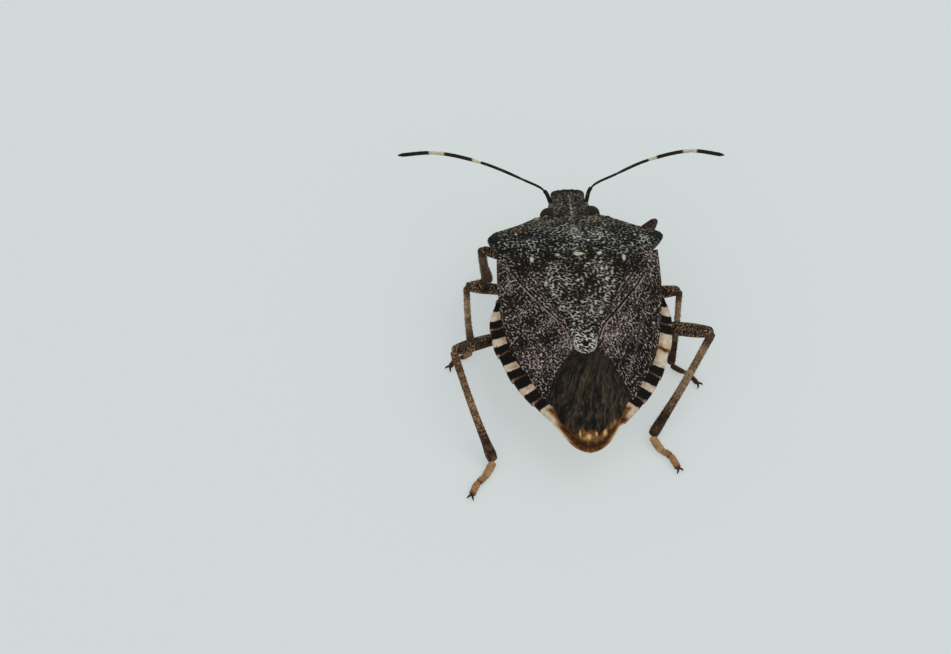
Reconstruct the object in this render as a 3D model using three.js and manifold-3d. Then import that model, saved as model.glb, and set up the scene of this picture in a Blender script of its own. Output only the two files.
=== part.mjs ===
import * as THREE from "three";
import Module from "manifold-3d";

// A shield bug at life size, in millimetres. +x is the animal's left, its head points to -y, and its feet stand
// at z = 0. On the midline y = 0 is where the scutellum starts, until the last lines move the origin.

// Driving dimensions
const gap = 0.2;              // clear space between neighbouring pieces
const plate = 0.5;            // thickness of pronotum, scutellum and wings
const rimThickness = 0.4;     // edge of the abdomen beside the wings
const rimWidth = 0.24;        // least width of that edge
const rimBevel = 0.22;        // how far its underside is drawn in
const veinHeight = 0.12;      // ridge of a vein over its wing
const feelerRadius = 0.25;    // every antenna segment away from its tip
const headTip = -5.1;
const pronotumFront = -2.85;
const pronotumRear = 0.02;
const pronotumCorner = { x: 1.75, y: -3.15 };
const humerus = { x: 4.33, y: -1.4 };
const pronotumBase = { x: 3.58, y: -0.46 };
const scutellumTip = 5.24;
const waist = 2.05;           // where the thorax ends and the abdomen starts
const tailTip = 9.73;
const limbSides = 8;
const kneeRadius = 0.27;
const ankleRadius = 0.2;
const eye = { x: 1.1, y: -3.56, z: 2.98, depth: 0.39, radius: 0.42 };

const wasm = await Module();
wasm.setup();

// A smooth curve through [position, value] pairs that doesn't overshoot between them.
function profile(pairs) {
  const last = pairs.length - 1;
  const slope = [];
  for (let i = 0; i < last; i++) {
    slope.push((pairs[i + 1][1] - pairs[i][1]) / (pairs[i + 1][0] - pairs[i][0]));
  }
  const tangent = pairs.map((pair, i) => {
    if (i === 0) return slope[0];
    if (i === last) return slope[last - 1];
    const product = slope[i - 1] * slope[i];
    return product <= 0 ? 0 : (2 * product) / (slope[i - 1] + slope[i]);
  });
  return (position) => {
    const at = THREE.MathUtils.clamp(position, pairs[0][0], pairs[last][0]);
    let i = 0;
    while (i < last - 1 && at > pairs[i + 1][0]) i++;
    const span = pairs[i + 1][0] - pairs[i][0];
    const t = (at - pairs[i][0]) / span;
    const rise = t * t * (3 - 2 * t);
    const start = t * (1 - t) * (1 - t) * span * tangent[i];
    const end = t * t * (t - 1) * span * tangent[i + 1];
    return pairs[i][1] * (1 - rise) + pairs[i + 1][1] * rise + start + end;
  };
}

function steps(count, from = 0, to = 1) {
  return Array.from({ length: count + 1 }, (_, i) => from + ((to - from) * i) / count);
}

const mix = THREE.MathUtils.lerp;

// The back of the whole insect is one surface: a height on the midline and a fall to each side.
const crest = profile([[-5.4, 2.85], [-5.0, 3.05], [-3.9, 3.45], [-2.85, 3.88], [-1.6, 4.55], [-0.6, 4.98],
  [0.1, 5.13], [1.2, 5.12], [3.0, 4.72], [5.2, 4.08], [7.5, 3.28], [9.3, 2.56], [9.75, 2.36]]);
const fall = profile([[-3.15, 0.1], [-2.8, 0.06], [-2.4, 0.038], [-1.4, 0.019], [0, 0.045], [1, 0.058],
  [3.2, 0.075], [6, 0.085], [8, 0.11], [9.75, 0.15]]);
const back = (x, y) => crest(y) - fall(y) * x * x;
const underPlate = (x, y) => back(x, y) - plate;

// Half widths of the body, along y
const headHalf = profile([[-5.1, 0.78], [-4.7, 0.87], [-4.3, 0.9], [-3.8, 0.86], [-3.3, 0.88], [-2.9, 0.95]]);
const scutellumHalf = profile([[0.2, 2.38], [0.6, 2.28], [1.7, 1.88], [2.9, 1.22], [3.85, 0.74], [4.4, 0.61],
  [4.8, 0.57], [5.08, 0.38], [scutellumTip, 0.06]]);
const abdomenHalf = profile([[waist, 4.15], [2.8, 4.42], [3.6, 4.41], [4.9, 4.06], [6.05, 3.57], [7.2, 2.72],
  [8.16, 1.82], [9.1, 1.02], [9.55, 0.56], [tailTip, 0.12]]);
const thoraxHalf = profile([[-2.65, 1.5], [-2.1, 2.5], [-1.5, 3.3], [-0.6, 3.55], [0.6, 3.7], [waist, 3.9]]);
const wingEdge = profile([[-0.3, 3.84], [0.3, 3.95], [1.4, 4.0], [2.9, 3.95], [4.2, 3.74], [4.9, 3.5],
  [6.1, 2.85], [7.1, 2.28], [7.5, 2.0], [8.2, 1.5], [8.8, 0.95], [9.15, 0.45]]);

// Joins closed rings of points into one skin. A slab's ring runs along its top and back along its underside,
// so its ends are closed by a strip, and its two faces are split alike. A round ring is closed by a fan.
function skin(rings, isSlab = false) {
  const size = rings[0].length;
  const points = rings.flat();
  const faces = [];
  const quad = (a, b, c, d, turned) => {
    if (turned) faces.push([a, b, d], [b, c, d]);
    else faces.push([a, b, c], [a, c, d]);
  };
  for (let row = 0; row < rings.length - 1; row++) {
    for (let k = 0; k < size; k++) {
      const next = (k + 1) % size;
      const a = row * size;
      const b = a + size;
      quad(a + k, a + next, b + next, b + k, isSlab && k >= size / 2);
    }
  }
  const close = (base, isLast) => {
    const add = (a, b, c) => faces.push(isLast ? [a, b, c] : [a, c, b]);
    if (isSlab) {
      for (let k = 0; k < size / 2 - 1; k++) {
        add(base + k, base + k + 1, base + size - 2 - k);
        add(base + k, base + size - 2 - k, base + size - 1 - k);
      }
      return;
    }
    const ring = points.slice(base, base + size);
    const centre = ring.reduce((sum, p) => sum.add(p), new THREE.Vector3()).divideScalar(size);
    points.push(centre);
    for (let k = 0; k < size; k++) add(base + k, base + ((k + 1) % size), points.length - 1);
  };
  const lastRing = (rings.length - 1) * size;
  close(0, false);
  close(lastRing, true);
  return facesOutward(points, faces);
}

function facesOutward(points, faces) {
  const cross = new THREE.Vector3();
  let volume = 0;
  for (const [a, b, c] of faces) volume += cross.crossVectors(points[a], points[b]).dot(points[c]);
  const turned = volume < 0 ? faces.map(([a, b, c]) => [a, c, b]) : faces;
  const geometry = new THREE.BufferGeometry().setFromPoints(points);
  geometry.setIndex(turned.flat());
  return geometry;
}

// Fuses closed pieces into one and keeps the largest closed surface.
function fuse(pieces) {
  const solids = pieces.map((piece) => new wasm.Manifold(new wasm.Mesh({
    numProp: 3,
    vertProperties: new Float32Array(piece.getAttribute("position").array),
    triVerts: new Uint32Array(piece.getIndex().array),
  })));
  const whole = solids.reduce((sum, solid) => sum.add(solid));
  const largest = whole.decompose().reduce((a, b) => (b.volume() > a.volume() ? b : a));
  const mesh = largest.getMesh();
  const geometry = new THREE.BufferGeometry();
  geometry.setAttribute("position", new THREE.BufferAttribute(new Float32Array(mesh.vertProperties), 3));
  geometry.setIndex(new THREE.BufferAttribute(new Uint32Array(mesh.triVerts), 1));
  return geometry;
}

// A plate that lies on the back: plan(u, v) gives its place, top and under its two heights there.
function slab(across, along, plan, top, under) {
  return skin(along.map((v) => {
    const places = across.map((u) => plan(u, v));
    const upper = places.map((p, i) => new THREE.Vector3(p.x, p.y, top(p.x, p.y, across[i], v)));
    const lower = places.map((p, i) => new THREE.Vector3(p.x, p.y, under(p.x, p.y, across[i], v)));
    return [...upper, ...lower.reverse()];
  }), true);
}

// A round limb through a row of centres, with a radius at each of them.
function tube(centres, radii, sides = limbSides) {
  const run = centres[centres.length - 1].clone().sub(centres[0]);
  const upright = Math.abs(run.z) > 0.8 * run.length();
  const reference = upright ? new THREE.Vector3(1, 0, 0) : new THREE.Vector3(0, 0, 1);
  return skin(centres.map((centre, i) => {
    const ahead = centres[Math.min(i + 1, centres.length - 1)];
    const behind = centres[Math.max(i - 1, 0)];
    const along = ahead.clone().sub(behind).normalize();
    const side = new THREE.Vector3().crossVectors(along, reference).normalize();
    const up = new THREE.Vector3().crossVectors(side, along);
    return steps(sides - 1, 0, 2 * Math.PI * (1 - 1 / sides)).map((angle) => centre.clone()
      .addScaledVector(side, radii[i] * Math.cos(angle))
      .addScaledVector(up, radii[i] * Math.sin(angle)));
  }));
}

// A straight limb between two points. It leaves half a gap free at each end, and radius(t) gives its swelling.
function limb(from, to, radius, { stations = 7, sides = limbSides, startGap = gap / 2, endGap = gap / 2 } = {}) {
  const along = to.clone().sub(from).normalize();
  const start = from.clone().addScaledVector(along, startGap);
  const end = to.clone().addScaledVector(along, -endGap);
  const places = steps(stations);
  return tube(places.map((t) => start.clone().lerp(end, t)), places.map((t) => radius(t)), sides);
}

// A shin hangs from the underside of its thigh: its top face lies along the thigh, one gap below it.
function shinFrom(hip, knee, ankle, thighRadius, radius) {
  const thighLine = knee.clone().sub(hip).normalize();
  const down = ankle.clone().sub(knee).normalize();
  const normal = down.clone().addScaledVector(thighLine, -down.dot(thighLine)).normalize();
  const clear = thighRadius + gap;
  const top = knee.clone().addScaledVector(down, clear / down.dot(normal));
  const run = ankle.clone().sub(top);
  const places = steps(7);
  const geometry = tube(places.map((t) => top.clone().addScaledVector(run, t)), places.map((t) => radius(t)));
  const positions = geometry.getAttribute("position");
  const topFan = positions.count - 2;
  for (const i of [...Array(limbSides).keys(), topFan]) {
    const place = new THREE.Vector3().fromBufferAttribute(positions, i);
    const above = place.clone().sub(top).dot(normal);
    place.addScaledVector(down, -above / down.dot(normal));
    positions.setXYZ(i, place.x, place.y, place.z);
  }
  return geometry;
}

function ellipsoid(centre, radii, sides = 10) {
  return skin(steps(6, -0.44, 0.44).map((turn) => {
    const angle = turn * Math.PI;
    return steps(sides - 1, 0, 2 * Math.PI * (1 - 1 / sides)).map((around) => new THREE.Vector3(
      centre.x + radii.x * Math.cos(angle) * Math.cos(around),
      centre.y + radii.y * Math.cos(angle) * Math.sin(around),
      centre.z + radii.z * Math.sin(angle),
    ));
  }));
}

const point = (x, y, z = 0) => new THREE.Vector3(x, y, z);
const curve = (...points) => new THREE.CatmullRomCurve3(points, false, "centripetal");

const model = new THREE.Group();

function addPiece(name, geometry, color, roughness = 0.6) {
  const mesh = new THREE.Mesh(geometry, new THREE.MeshStandardMaterial({ color, roughness, metalness: 0 }));
  mesh.name = name;
  model.add(mesh);
}

const darkShell = "#3a342e";
const wingShell = "#4b3f40";
const membraneBrown = "#30261c";
const paleRim = "#b9a584";
const limbBrown = "#5a4734";
const sides = [["left", 1], ["right", -1]];

// Head: flattened above, with a groove on each side of its middle lobe and a shallow notch at its tip.
function headTop(x, y) {
  const groove = Math.exp(-(((Math.abs(x) - 0.28) / 0.09) ** 2)) * THREE.MathUtils.smoothstep(-y, 3.9, 4.5);
  return crest(y) - 0.3 * x * x - 0.06 * groove;
}

function headUnder(x, y, u) {
  const keel = mix(1.95, 2.5, THREE.MathUtils.smoothstep(-y, 3.9, 5.15));
  return Math.min(keel + 0.62 * u * u, headTop(x, y) - 0.32);
}

function makeHead() {
  const outline = (u, v) => {
    const front = headTip + 0.1 * Math.exp(-((u / 0.22) ** 2)) + 0.16 * u ** 12;
    const rear = pronotumFront - gap - 0.06 * u * u;
    const y = mix(front, rear, v);
    return { x: u * headHalf(y), y };
  };
  const shell = slab(steps(16, -1, 1), steps(12), outline, headTop, headUnder);
  const feelerRoots = sides.map(([, side]) => ellipsoid(point(side * 0.82, -4.2, 2.72), point(0.24, 0.3, 0.22)));
  return fuse([shell, ...feelerRoots]);
}

addPiece("head", makeHead(), darkShell);

function makeEye(side) {
  return skin(steps(5, 0, 0.46).map((turn) => {
    const angle = turn * Math.PI;
    return steps(13, 0, (2 * Math.PI * 13) / 14).map((around) => point(
      side * (eye.x + eye.depth * Math.sin(angle)),
      eye.y + eye.radius * Math.cos(angle) * Math.cos(around),
      eye.z + eye.radius * Math.cos(angle) * Math.sin(around),
    ));
  }));
}

for (const [name, side] of sides) addPiece(`eye_${name}`, makeEye(side), "#231a14", 0.25);

// Beak: the feeding tube, folded back under head and chest. It has four joints.
function makeBeak() {
  const places = [[-4.75, 1.98], [-4.4, 1.64], [-4.0, 1.4], [-3.3, 1.18], [-3.2, 1.15], [-2.4, 1.04],
    [-1.5, 1.0], [-1.4, 1.0], [-0.4, 1.0], [0.4, 1.0], [0.5, 1.0], [1.2, 1.0], [1.6, 1.0]];
  const radii = [0.2, 0.27, 0.28, 0.22, 0.25, 0.26, 0.2, 0.23, 0.23, 0.18, 0.21, 0.17, 0.08];
  return tube(places.map(([y, z]) => point(0, y, z)), radii);
}

addPiece("beak", makeBeak(), limbBrown);

// Pronotum: a wide shield from the hollow behind the head to the scutellum, with a blunt corner on each side.
function makePronotum() {
  const margin = curve(point(pronotumCorner.x, pronotumCorner.y), point(2.6, -2.64), point(3.5, -2.08),
    point(4.1, -1.76), point(humerus.x, humerus.y), point(4.24, -1.02), point(4.0, -0.74),
    point(pronotumBase.x, pronotumBase.y));
  const middle = (v) => mix(pronotumFront, pronotumRear, v);
  const outline = (u, v) => {
    const edge = margin.getPointAt(v);
    const bend = 1 - Math.abs(u) ** mix(2, 4, v);
    return { x: u * edge.x, y: edge.y + (middle(v) - edge.y) * bend };
  };
  const swelling = (x, y) => 0.07 * Math.exp(-(((Math.abs(x) - 0.95) / 0.5) ** 2) - ((y + 2.35) / 0.3) ** 2);
  const top = (x, y) => back(x, y) + swelling(x, y);
  return slab(steps(18, -1, 1), steps(14), outline, top, underPlate);
}

addPiece("pronotum", makePronotum(), darkShell);

// Scutellum: the long middle triangle, drawn out into a rounded tongue.
function makeScutellum() {
  const outline = (u, v) => {
    const y = mix(pronotumRear + gap, scutellumTip, v);
    return { x: u * scutellumHalf(y), y };
  };
  const proud = 0.06;
  const rows = [...steps(9, 0, 0.86), 0.9, 0.94, 0.97, 0.99, 1];
  return slab(steps(10, -1, 1), rows, outline, (x, y) => back(x, y) + proud, underPlate);
}

addPiece("scutellum", makeScutellum(), darkShell);

// Forewings: the leathery front part of each, from the pronotum to the membrane. A furrow parts the long
// triangle beside the scutellum from the rest, which carries two long veins.
const wingCorner = point(2.24, 7.06);
const membraneStart = [point(0.86, 5.14), point(1.38, 5.8), point(1.82, 6.5)];

function makeForewing(side) {
  const inner = curve(...[0.22, 1.2, 2.2, 3.2, 4.1, 4.75].map((y) => point(scutellumHalf(y) + gap, y)),
    ...membraneStart, wingCorner);
  const outer = curve(...[-0.28, 0.6, 1.9, 3.4, 4.9, 6.1, 7.1].map((y) => point(wingEdge(y), y)));
  const furrow = 0.3;
  const furrowPlace = profile([[0, 0.74], [0.25, 0.5], [0.45, 0.28], [0.6, 0.12], [0.7, 0.07], [1, 0.05]]);
  const outline = (u, v) => {
    const split = furrowPlace(v);
    const across = u < furrow ? (u / furrow) * split : mix(split, 1, (u - furrow) / (1 - furrow));
    const place = inner.getPointAt(v).lerp(outer.getPointAt(v), across);
    return { x: side * place.x, y: place.y };
  };
  const veins = [0.5, 0.76];
  const top = (x, y, u, v) => {
    const ridge = veins.includes(u) ? veinHeight * (1 - v) : 0;
    const groove = u === furrow ? 0.5 * veinHeight : 0;
    return back(x, y) + ridge - groove;
  };
  const columns = [0, 0.22, furrow, 0.38, 0.46, 0.5, 0.54, 0.64, 0.72, 0.76, 0.8, 0.9, 1];
  return slab(columns, [...steps(15, 0, 0.94), 0.985], outline, top, underPlate);
}

for (const [name, side] of sides) addPiece(`forewing_${name}`, makeForewing(side), wingShell);

// Membranes: the thin rear parts. The right one lies on top, and its veins run from a slanted root vein near
// its own forewing to the edge at the tail. Of the left one only the strip beside it shows.
const membraneFloor = (x, y) => back(x, y) - mix(plate, 0.3, THREE.MathUtils.smoothstep(y, 7.5, 9.1));

function makeRightMembrane() {
  const start = curve(point(0.12, 5.46), point(-0.45, 5.44), point(-0.96, 5.44), point(-1.2, 5.86),
    point(-1.64, 6.56), point(-2.02, 7.2));
  const root = curve(point(0.3, 5.5), point(-0.3, 5.76), point(-0.8, 6.12), point(-1.25, 6.4),
    point(-1.62, 6.84), point(-1.92, 7.34));
  const far = curve(point(0.62, 5.56), point(1.0, 6.24), point(1.42, 7.1), point(1.32, 7.9), point(1.0, 8.5),
    point(0.55, 8.98), point(0, 9.12), point(-0.55, 8.98), point(-1.05, 8.5), point(-1.5, 7.95));
  const rootAt = 0.12;
  const outline = (u, v) => {
    const a = v < rootAt ? start.getPointAt(u) : root.getPointAt(u);
    const b = v < rootAt ? root.getPointAt(u) : far.getPointAt(u);
    return a.lerp(b, v < rootAt ? v / rootAt : (v - rootAt) / (1 - rootAt));
  };
  const veinCount = 7;
  const veinHalf = 0.022;
  const columns = [0];
  const veins = steps(veinCount - 1, 0.1, 0.92);
  for (const vein of veins) columns.push(vein - veinHalf, vein, vein + veinHalf);
  columns.push(1);
  const top = (x, y, u, v) => {
    const onVein = veins.includes(u) && v > 0.1 && v < 0.99;
    const onRoot = Math.abs(v - rootAt) < 0.001 && u > 0 && u < 1;
    return back(x, y) + (onVein || onRoot ? veinHeight * (1 - 0.5 * v) : 0);
  };
  const rows = [0, 0.08, rootAt, 0.16, 0.3, 0.45, 0.6, 0.75, 0.88, 1];
  return slab(columns, rows, outline, top, membraneFloor);
}

function makeLeftMembrane() {
  const inner = curve(point(0.82, 5.56), point(1.2, 6.24), point(1.62, 7.08), point(1.54, 7.9));
  const outer = curve(point(0.98, 5.5), point(1.58, 6.4), point(2.04, 7.2), point(1.72, 7.9));
  const outline = (u, v) => inner.getPointAt(v).lerp(outer.getPointAt(v), u);
  return slab(steps(3), steps(8), outline, back, membraneFloor);
}

addPiece("membrane_left", makeLeftMembrane(), membraneBrown, 0.35);
addPiece("membrane_right", makeRightMembrane(), membraneBrown, 0.35);

// Underside height from the keel on the midline out to the lower edge of a side.
const belly = (keel, edge, x, half) => mix(keel, edge, (Math.abs(x) / half) ** 1.5);

// Thorax: the chest under pronotum, scutellum and wing roots.
function makeThorax() {
  const rows = [-2.62, -2.3, -1.9, -1.4, -0.8, 0, 0.8, waist - gap];
  const columns = steps(12, -1, 1);
  const top = (x, y) => underPlate(x, y) - gap;
  const under = (x, y, u, v) => belly(1.45, top(x, y) - 0.5, x, thoraxHalf(mix(rows[0], rows[7], v)));
  const outline = (u, v) => {
    const y = mix(rows[0], rows[7], v);
    return { x: u * thoraxHalf(y), y };
  };
  return slab(columns, rows.map((y) => (y - rows[0]) / (rows[7] - rows[0])), outline, top, under);
}

addPiece("thorax", makeThorax(), limbBrown);

// Abdomen: a keeled belly, a bed for the wings, and the flat banded edge that shows beside them. Each segment's
// rear corner stands out a little.
const keelHeight = profile([[waist, 1.4], [3.2, 1.2], [5, 1.2], [7, 1.4], [9, 1.72], [tailTip, 1.9]]);
const segmentEnds = [3.3, 4.8, 6.1, 7.25, 8.25];

function segmentTooth(y) {
  const end = segmentEnds.find((place) => place >= y - 0.001);
  return end === undefined ? 0 : 0.05 * Math.max(0, 1 - (end - y) / 0.5);
}

function makeAbdomen() {
  const bedDepth = profile([[waist, plate + gap], [8, 0.62], [9.0, 0.5], [9.3, 0.4], [9.45, 0.02],
    [tailTip, 0]]);
  const rows = [waist, 2.4, 2.8];
  for (const end of segmentEnds) rows.push(end - 0.5, end, end + 0.04);
  rows.push(8.7, 9.0, 9.24, 9.42, 9.6, tailTip);
  return skin(rows.sort((a, b) => a - b).map((y) => {
    const half = abdomenHalf(y) + segmentTooth(y);
    const bed = Math.max(0.3 * half, Math.min(half - rimWidth, wingEdge(y) + gap));
    const edge = back(half, y);
    const right = [0, 0.25, 0.5, 0.75, 0.9].map((u) => {
      const x = u * half;
      return point(x, y, belly(keelHeight(y), edge - rimThickness, x, half));
    });
    right.push(point(half - rimBevel, y, edge - rimThickness), point(half, y, edge - 0.1));
    right.push(point(half, y, edge), point(bed, y, back(bed, y)));
    for (const u of [0.99, 0.75, 0.5, 0.25]) right.push(point(u * bed, y, back(u * bed, y) - bedDepth(y)));
    const mirrored = right.slice(1).reverse().map((p) => point(-p.x, y, p.z));
    return [...right, point(0, y, back(0, y) - bedDepth(y)), ...mirrored];
  }));
}

addPiece("abdomen", makeAbdomen(), paleRim);

// Antennae: five segments each, held out forward and to the sides.
const feelers = {
  left: [[0.93, -4.52, 2.74], [1.18, -4.96, 3.1], [2.24, -5.43, 3.45], [4.3, -6.28, 3.8], [6.5, -6.85, 3.9],
    [8.51, -6.96, 3.6]],
  right: [[-0.95, -4.52, 2.74], [-1.16, -5.08, 3.1], [-2.46, -5.63, 3.45], [-4.08, -6.18, 3.8],
    [-6.2, -6.59, 3.9], [-8.05, -6.47, 3.6]],
};

for (const [name] of sides) {
  const joints = feelers[name].map((place) => point(...place));
  for (let i = 0; i < 5; i++) {
    const isTip = i === 4;
    const radius = (t) => {
      const swelling = 0.85 + 0.15 * Math.sin(Math.PI * t);
      const taper = isTip ? Math.sqrt(Math.max(0.1, 1 - t ** 4)) : 1;
      return feelerRadius * swelling * taper;
    };
    const stations = i === 0 ? 3 : 5;
    addPiece(`antenna_${name}_${i + 1}`, limb(joints[i], joints[i + 1], radius, { stations }), darkShell);
  }
}

// Legs: for each the hip, knee, ankle and toe, and the thickest radius of thigh and shin.
const legs = {
  front_left: { hip: [1.35, -1.62, 1.1], knee: [4.56, -1.6, 3.1], ankle: [4.08, -1.48, 0.34],
    toe: [4.86, -1.3], thigh: 0.29, shin: 0.25 },
  front_right: { hip: [-1.35, -1.62, 1.1], knee: [-4.07, -2.9, 3.1], ankle: [-3.5, -2.7, 0.34],
    toe: [-3.75, -3.6], thigh: 0.29, shin: 0.25 },
  middle_left: { hip: [1.55, 0.22, 1.05], knee: [5.4, 0.8, 3.3], ankle: [5.16, 2.62, 0.34],
    toe: [6.27, 3.53], thigh: 0.3, shin: 0.25 },
  middle_right: { hip: [-1.55, 0.22, 1.05], knee: [-5.0, 0.95, 2.9], ankle: [-4.59, 3.86, 0.34],
    toe: [-5.89, 4.87], thigh: 0.3, shin: 0.25 },
  hind_left: { hip: [1.8, 1.95, 1.0], knee: [6.23, 4.05, 3.0], ankle: [4.54, 8.89, 0.34],
    toe: [5.74, 10.6], thigh: 0.33, shin: 0.27 },
  hind_right: { hip: [-1.8, 1.95, 1.0], knee: [-6.33, 3.5, 3.0], ankle: [-3.32, 7.74, 0.34],
    toe: [-4.55, 9.5], thigh: 0.33, shin: 0.27 },
};

// Root of a leg: a stout coxa and, past a waist, the small ring that carries the thigh.
function makeCoxa(hip) {
  const inward = point(-0.5 * Math.sign(hip.x), -0.24, 0.28);
  const root = hip.clone().add(inward);
  const radius = profile([[0, 0.24], [0.35, 0.32], [0.62, 0.22], [0.82, 0.25], [1, 0.2]]);
  return limb(root, hip, radius, { stations: 7, startGap: 0 });
}

// Foot: three joints on a flat sole at z = 0, with a pair of claws that spread and touch the floor.
function makeTarsus(ankle, toe) {
  const below = point(ankle.x, ankle.y);
  const along = toe.clone().sub(below).normalize();
  const heel = below.addScaledVector(along, ankleRadius + gap);
  const across = point(-along.y, along.x);
  const height = profile([[0, 0.5], [0.3, 0.46], [0.42, 0.4], [0.58, 0.42], [0.9, 0.42], [1, 0.3]]);
  const half = profile([[0, 0.2], [0.25, 0.25], [0.42, 0.19], [0.55, 0.24], [0.64, 0.19], [0.88, 0.24], [1, 0.15]]);
  const sole = skin([0, 0.14, 0.28, 0.42, 0.54, 0.64, 0.78, 0.9, 1].map((t) => {
    const middle = heel.clone().lerp(toe, t);
    const profileAt = [[-0.7, 0], [-1, 0.35], [-0.85, 0.75], [-0.4, 1], [0.4, 1], [0.85, 0.75], [1, 0.35],
      [0.7, 0]];
    return profileAt.map(([w, h]) => middle.clone().addScaledVector(across, w * half(t))
      .add(point(0, 0, h * height(t))));
  }));
  const claws = [-1, 1].map((side) => {
    const root = toe.clone().addScaledVector(along, -0.12).add(point(0, 0, 0.2));
    const bend = toe.clone().addScaledVector(along, 0.16).addScaledVector(across, side * 0.16);
    const tip = toe.clone().addScaledVector(along, 0.34).addScaledVector(across, side * 0.26);
    return tube([root, bend.add(point(0, 0, 0.2)), tip.add(point(0, 0, 0.04))], [0.1, 0.08, 0.035], 6);
  });
  return fuse([sole, ...claws]);
}

for (const [name, leg] of Object.entries(legs)) {
  const hip = point(...leg.hip);
  const knee = point(...leg.knee);
  const ankle = point(...leg.ankle);
  const thigh = profile([[0, 0.2], [0.15, 0.24], [0.6, leg.thigh], [0.92, kneeRadius], [1, 0.16]]);
  const shin = profile([[0, 0.2], [0.12, 0.25], [0.5, leg.shin], [0.9, 0.27], [1, ankleRadius]]);
  addPiece(`leg_${name}_coxa`, makeCoxa(hip), limbBrown);
  addPiece(`leg_${name}_femur`, limb(hip, knee, thigh, { endGap: -0.22 }), limbBrown);
  addPiece(`leg_${name}_tibia`, shinFrom(hip, knee, ankle, kneeRadius, shin), limbBrown);
  addPiece(`leg_${name}_tarsus`, makeTarsus(ankle, point(...leg.toe)), limbBrown);
}

// The origin goes to the middle of the footprint, on the floor.
const bounds = new THREE.Box3().setFromObject(model);
const middle = bounds.getCenter(new THREE.Vector3());
model.position.set(-middle.x, -middle.y, -bounds.min.z);
model.updateMatrixWorld(true);

export default model;
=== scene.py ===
import math

import bpy
import numpy as np
from mathutils import Matrix, Vector


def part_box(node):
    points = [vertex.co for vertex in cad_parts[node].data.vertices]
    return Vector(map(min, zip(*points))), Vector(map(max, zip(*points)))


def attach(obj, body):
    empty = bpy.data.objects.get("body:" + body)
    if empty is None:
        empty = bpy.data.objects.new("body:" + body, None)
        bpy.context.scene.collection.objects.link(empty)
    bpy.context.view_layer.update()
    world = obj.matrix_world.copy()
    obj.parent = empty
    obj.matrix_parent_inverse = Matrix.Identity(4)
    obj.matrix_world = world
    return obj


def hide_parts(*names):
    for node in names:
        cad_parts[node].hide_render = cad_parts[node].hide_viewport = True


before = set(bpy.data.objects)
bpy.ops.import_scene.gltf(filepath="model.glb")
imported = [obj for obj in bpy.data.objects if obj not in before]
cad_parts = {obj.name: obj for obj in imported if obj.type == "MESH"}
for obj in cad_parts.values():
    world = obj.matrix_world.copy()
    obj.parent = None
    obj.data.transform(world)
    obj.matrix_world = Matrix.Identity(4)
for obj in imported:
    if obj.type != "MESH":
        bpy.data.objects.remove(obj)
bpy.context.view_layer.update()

# Places on the insect count in mm: +x is its left, the head points to -y, z = 0 is the floor, and y = 0 is
# where the scutellum starts. The frame has its origin elsewhere, which the scutellum's own box tells.
scutellumStart = 0.22
scutellumLow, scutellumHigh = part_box("scutellum")
bodyShift = np.array([
    (scutellumLow.x + scutellumHigh.x) / 2,
    scutellumLow.y - scutellumStart / 1000,
    0.0,
])


def toFrame(places):
    return np.asarray(places, float) / 1000 + bodyShift


def profile(pairs):
    # A smooth curve through (place, value) pairs that doesn't overshoot between them
    at, value = np.array(pairs, float).T
    slope = np.diff(value) / np.diff(at)
    tangent = np.zeros_like(value)
    tangent[0] = slope[0]
    tangent[-1] = slope[-1]
    product = slope[:-1] * slope[1:]
    total = np.where(product > 0, slope[:-1] + slope[1:], 1)
    tangent[1:-1] = np.where(product > 0, 2 * product / total, 0)

    def read(place):
        x = np.clip(place, at[0], at[-1])
        i = np.clip(np.searchsorted(at, x, side="right") - 1, 0, len(at) - 2)
        span = at[i + 1] - at[i]
        t = (x - at[i]) / span
        rise = t * t * (3 - 2 * t)
        bend = t * (1 - t) ** 2 * tangent[i] + t * t * (t - 1) * tangent[i + 1]
        return value[i] * (1 - rise) + value[i + 1] * rise + span * bend

    return read


def curve(points):
    # A rounded path through points, read by the share of its length
    knots = np.array(points, float)
    gaps = np.linalg.norm(np.diff(knots, axis=0), axis=1) ** 0.5
    at = np.concatenate([[0], np.cumsum(gaps)])
    slope = np.diff(knots, axis=0) / gaps[:, None]
    tangent = np.empty_like(knots)
    tangent[0] = slope[0]
    tangent[-1] = slope[-1]
    before = gaps[:-1, None]
    after = gaps[1:, None]
    tangent[1:-1] = (slope[1:] * before + slope[:-1] * after) / (before + after)
    fine = np.linspace(0, at[-1], 600)
    i = np.clip(np.searchsorted(at, fine, side="right") - 1, 0, len(gaps) - 1)
    t = ((fine - at[i]) / gaps[i])[:, None]
    rise = t * t * (3 - 2 * t)
    bend = t * (1 - t) ** 2 * tangent[i] + t * t * (t - 1) * tangent[i + 1]
    path = knots[i] * (1 - rise) + knots[i + 1] * rise + gaps[i][:, None] * bend
    run = np.concatenate([[0], np.cumsum(np.linalg.norm(np.diff(path, axis=0), axis=1))])

    def read(share):
        length = np.clip(share, 0, 1) * run[-1]
        return np.stack([np.interp(length, run, side) for side in path.T], -1)

    return read


def smooth(low, high, value):
    t = np.clip((value - low) / (high - low), 0, 1)
    return t * t * (3 - 2 * t)


def blob(x, y, centreX, centreY, sizeX, sizeY):
    return np.exp(-((x - centreX) / sizeX) ** 2 - ((y - centreY) / sizeY) ** 2)


def bell(away, size):
    # 1 where away is 0, and less to both sides
    return np.exp(-(away / size) ** 2)


def chance(a, b, seed):
    # The same draw in every run for each pair of whole numbers
    value = np.sin(a * 127.1 + b * 311.7 + seed * 74.7) * 43758.5453
    return value - np.floor(value)


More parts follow.
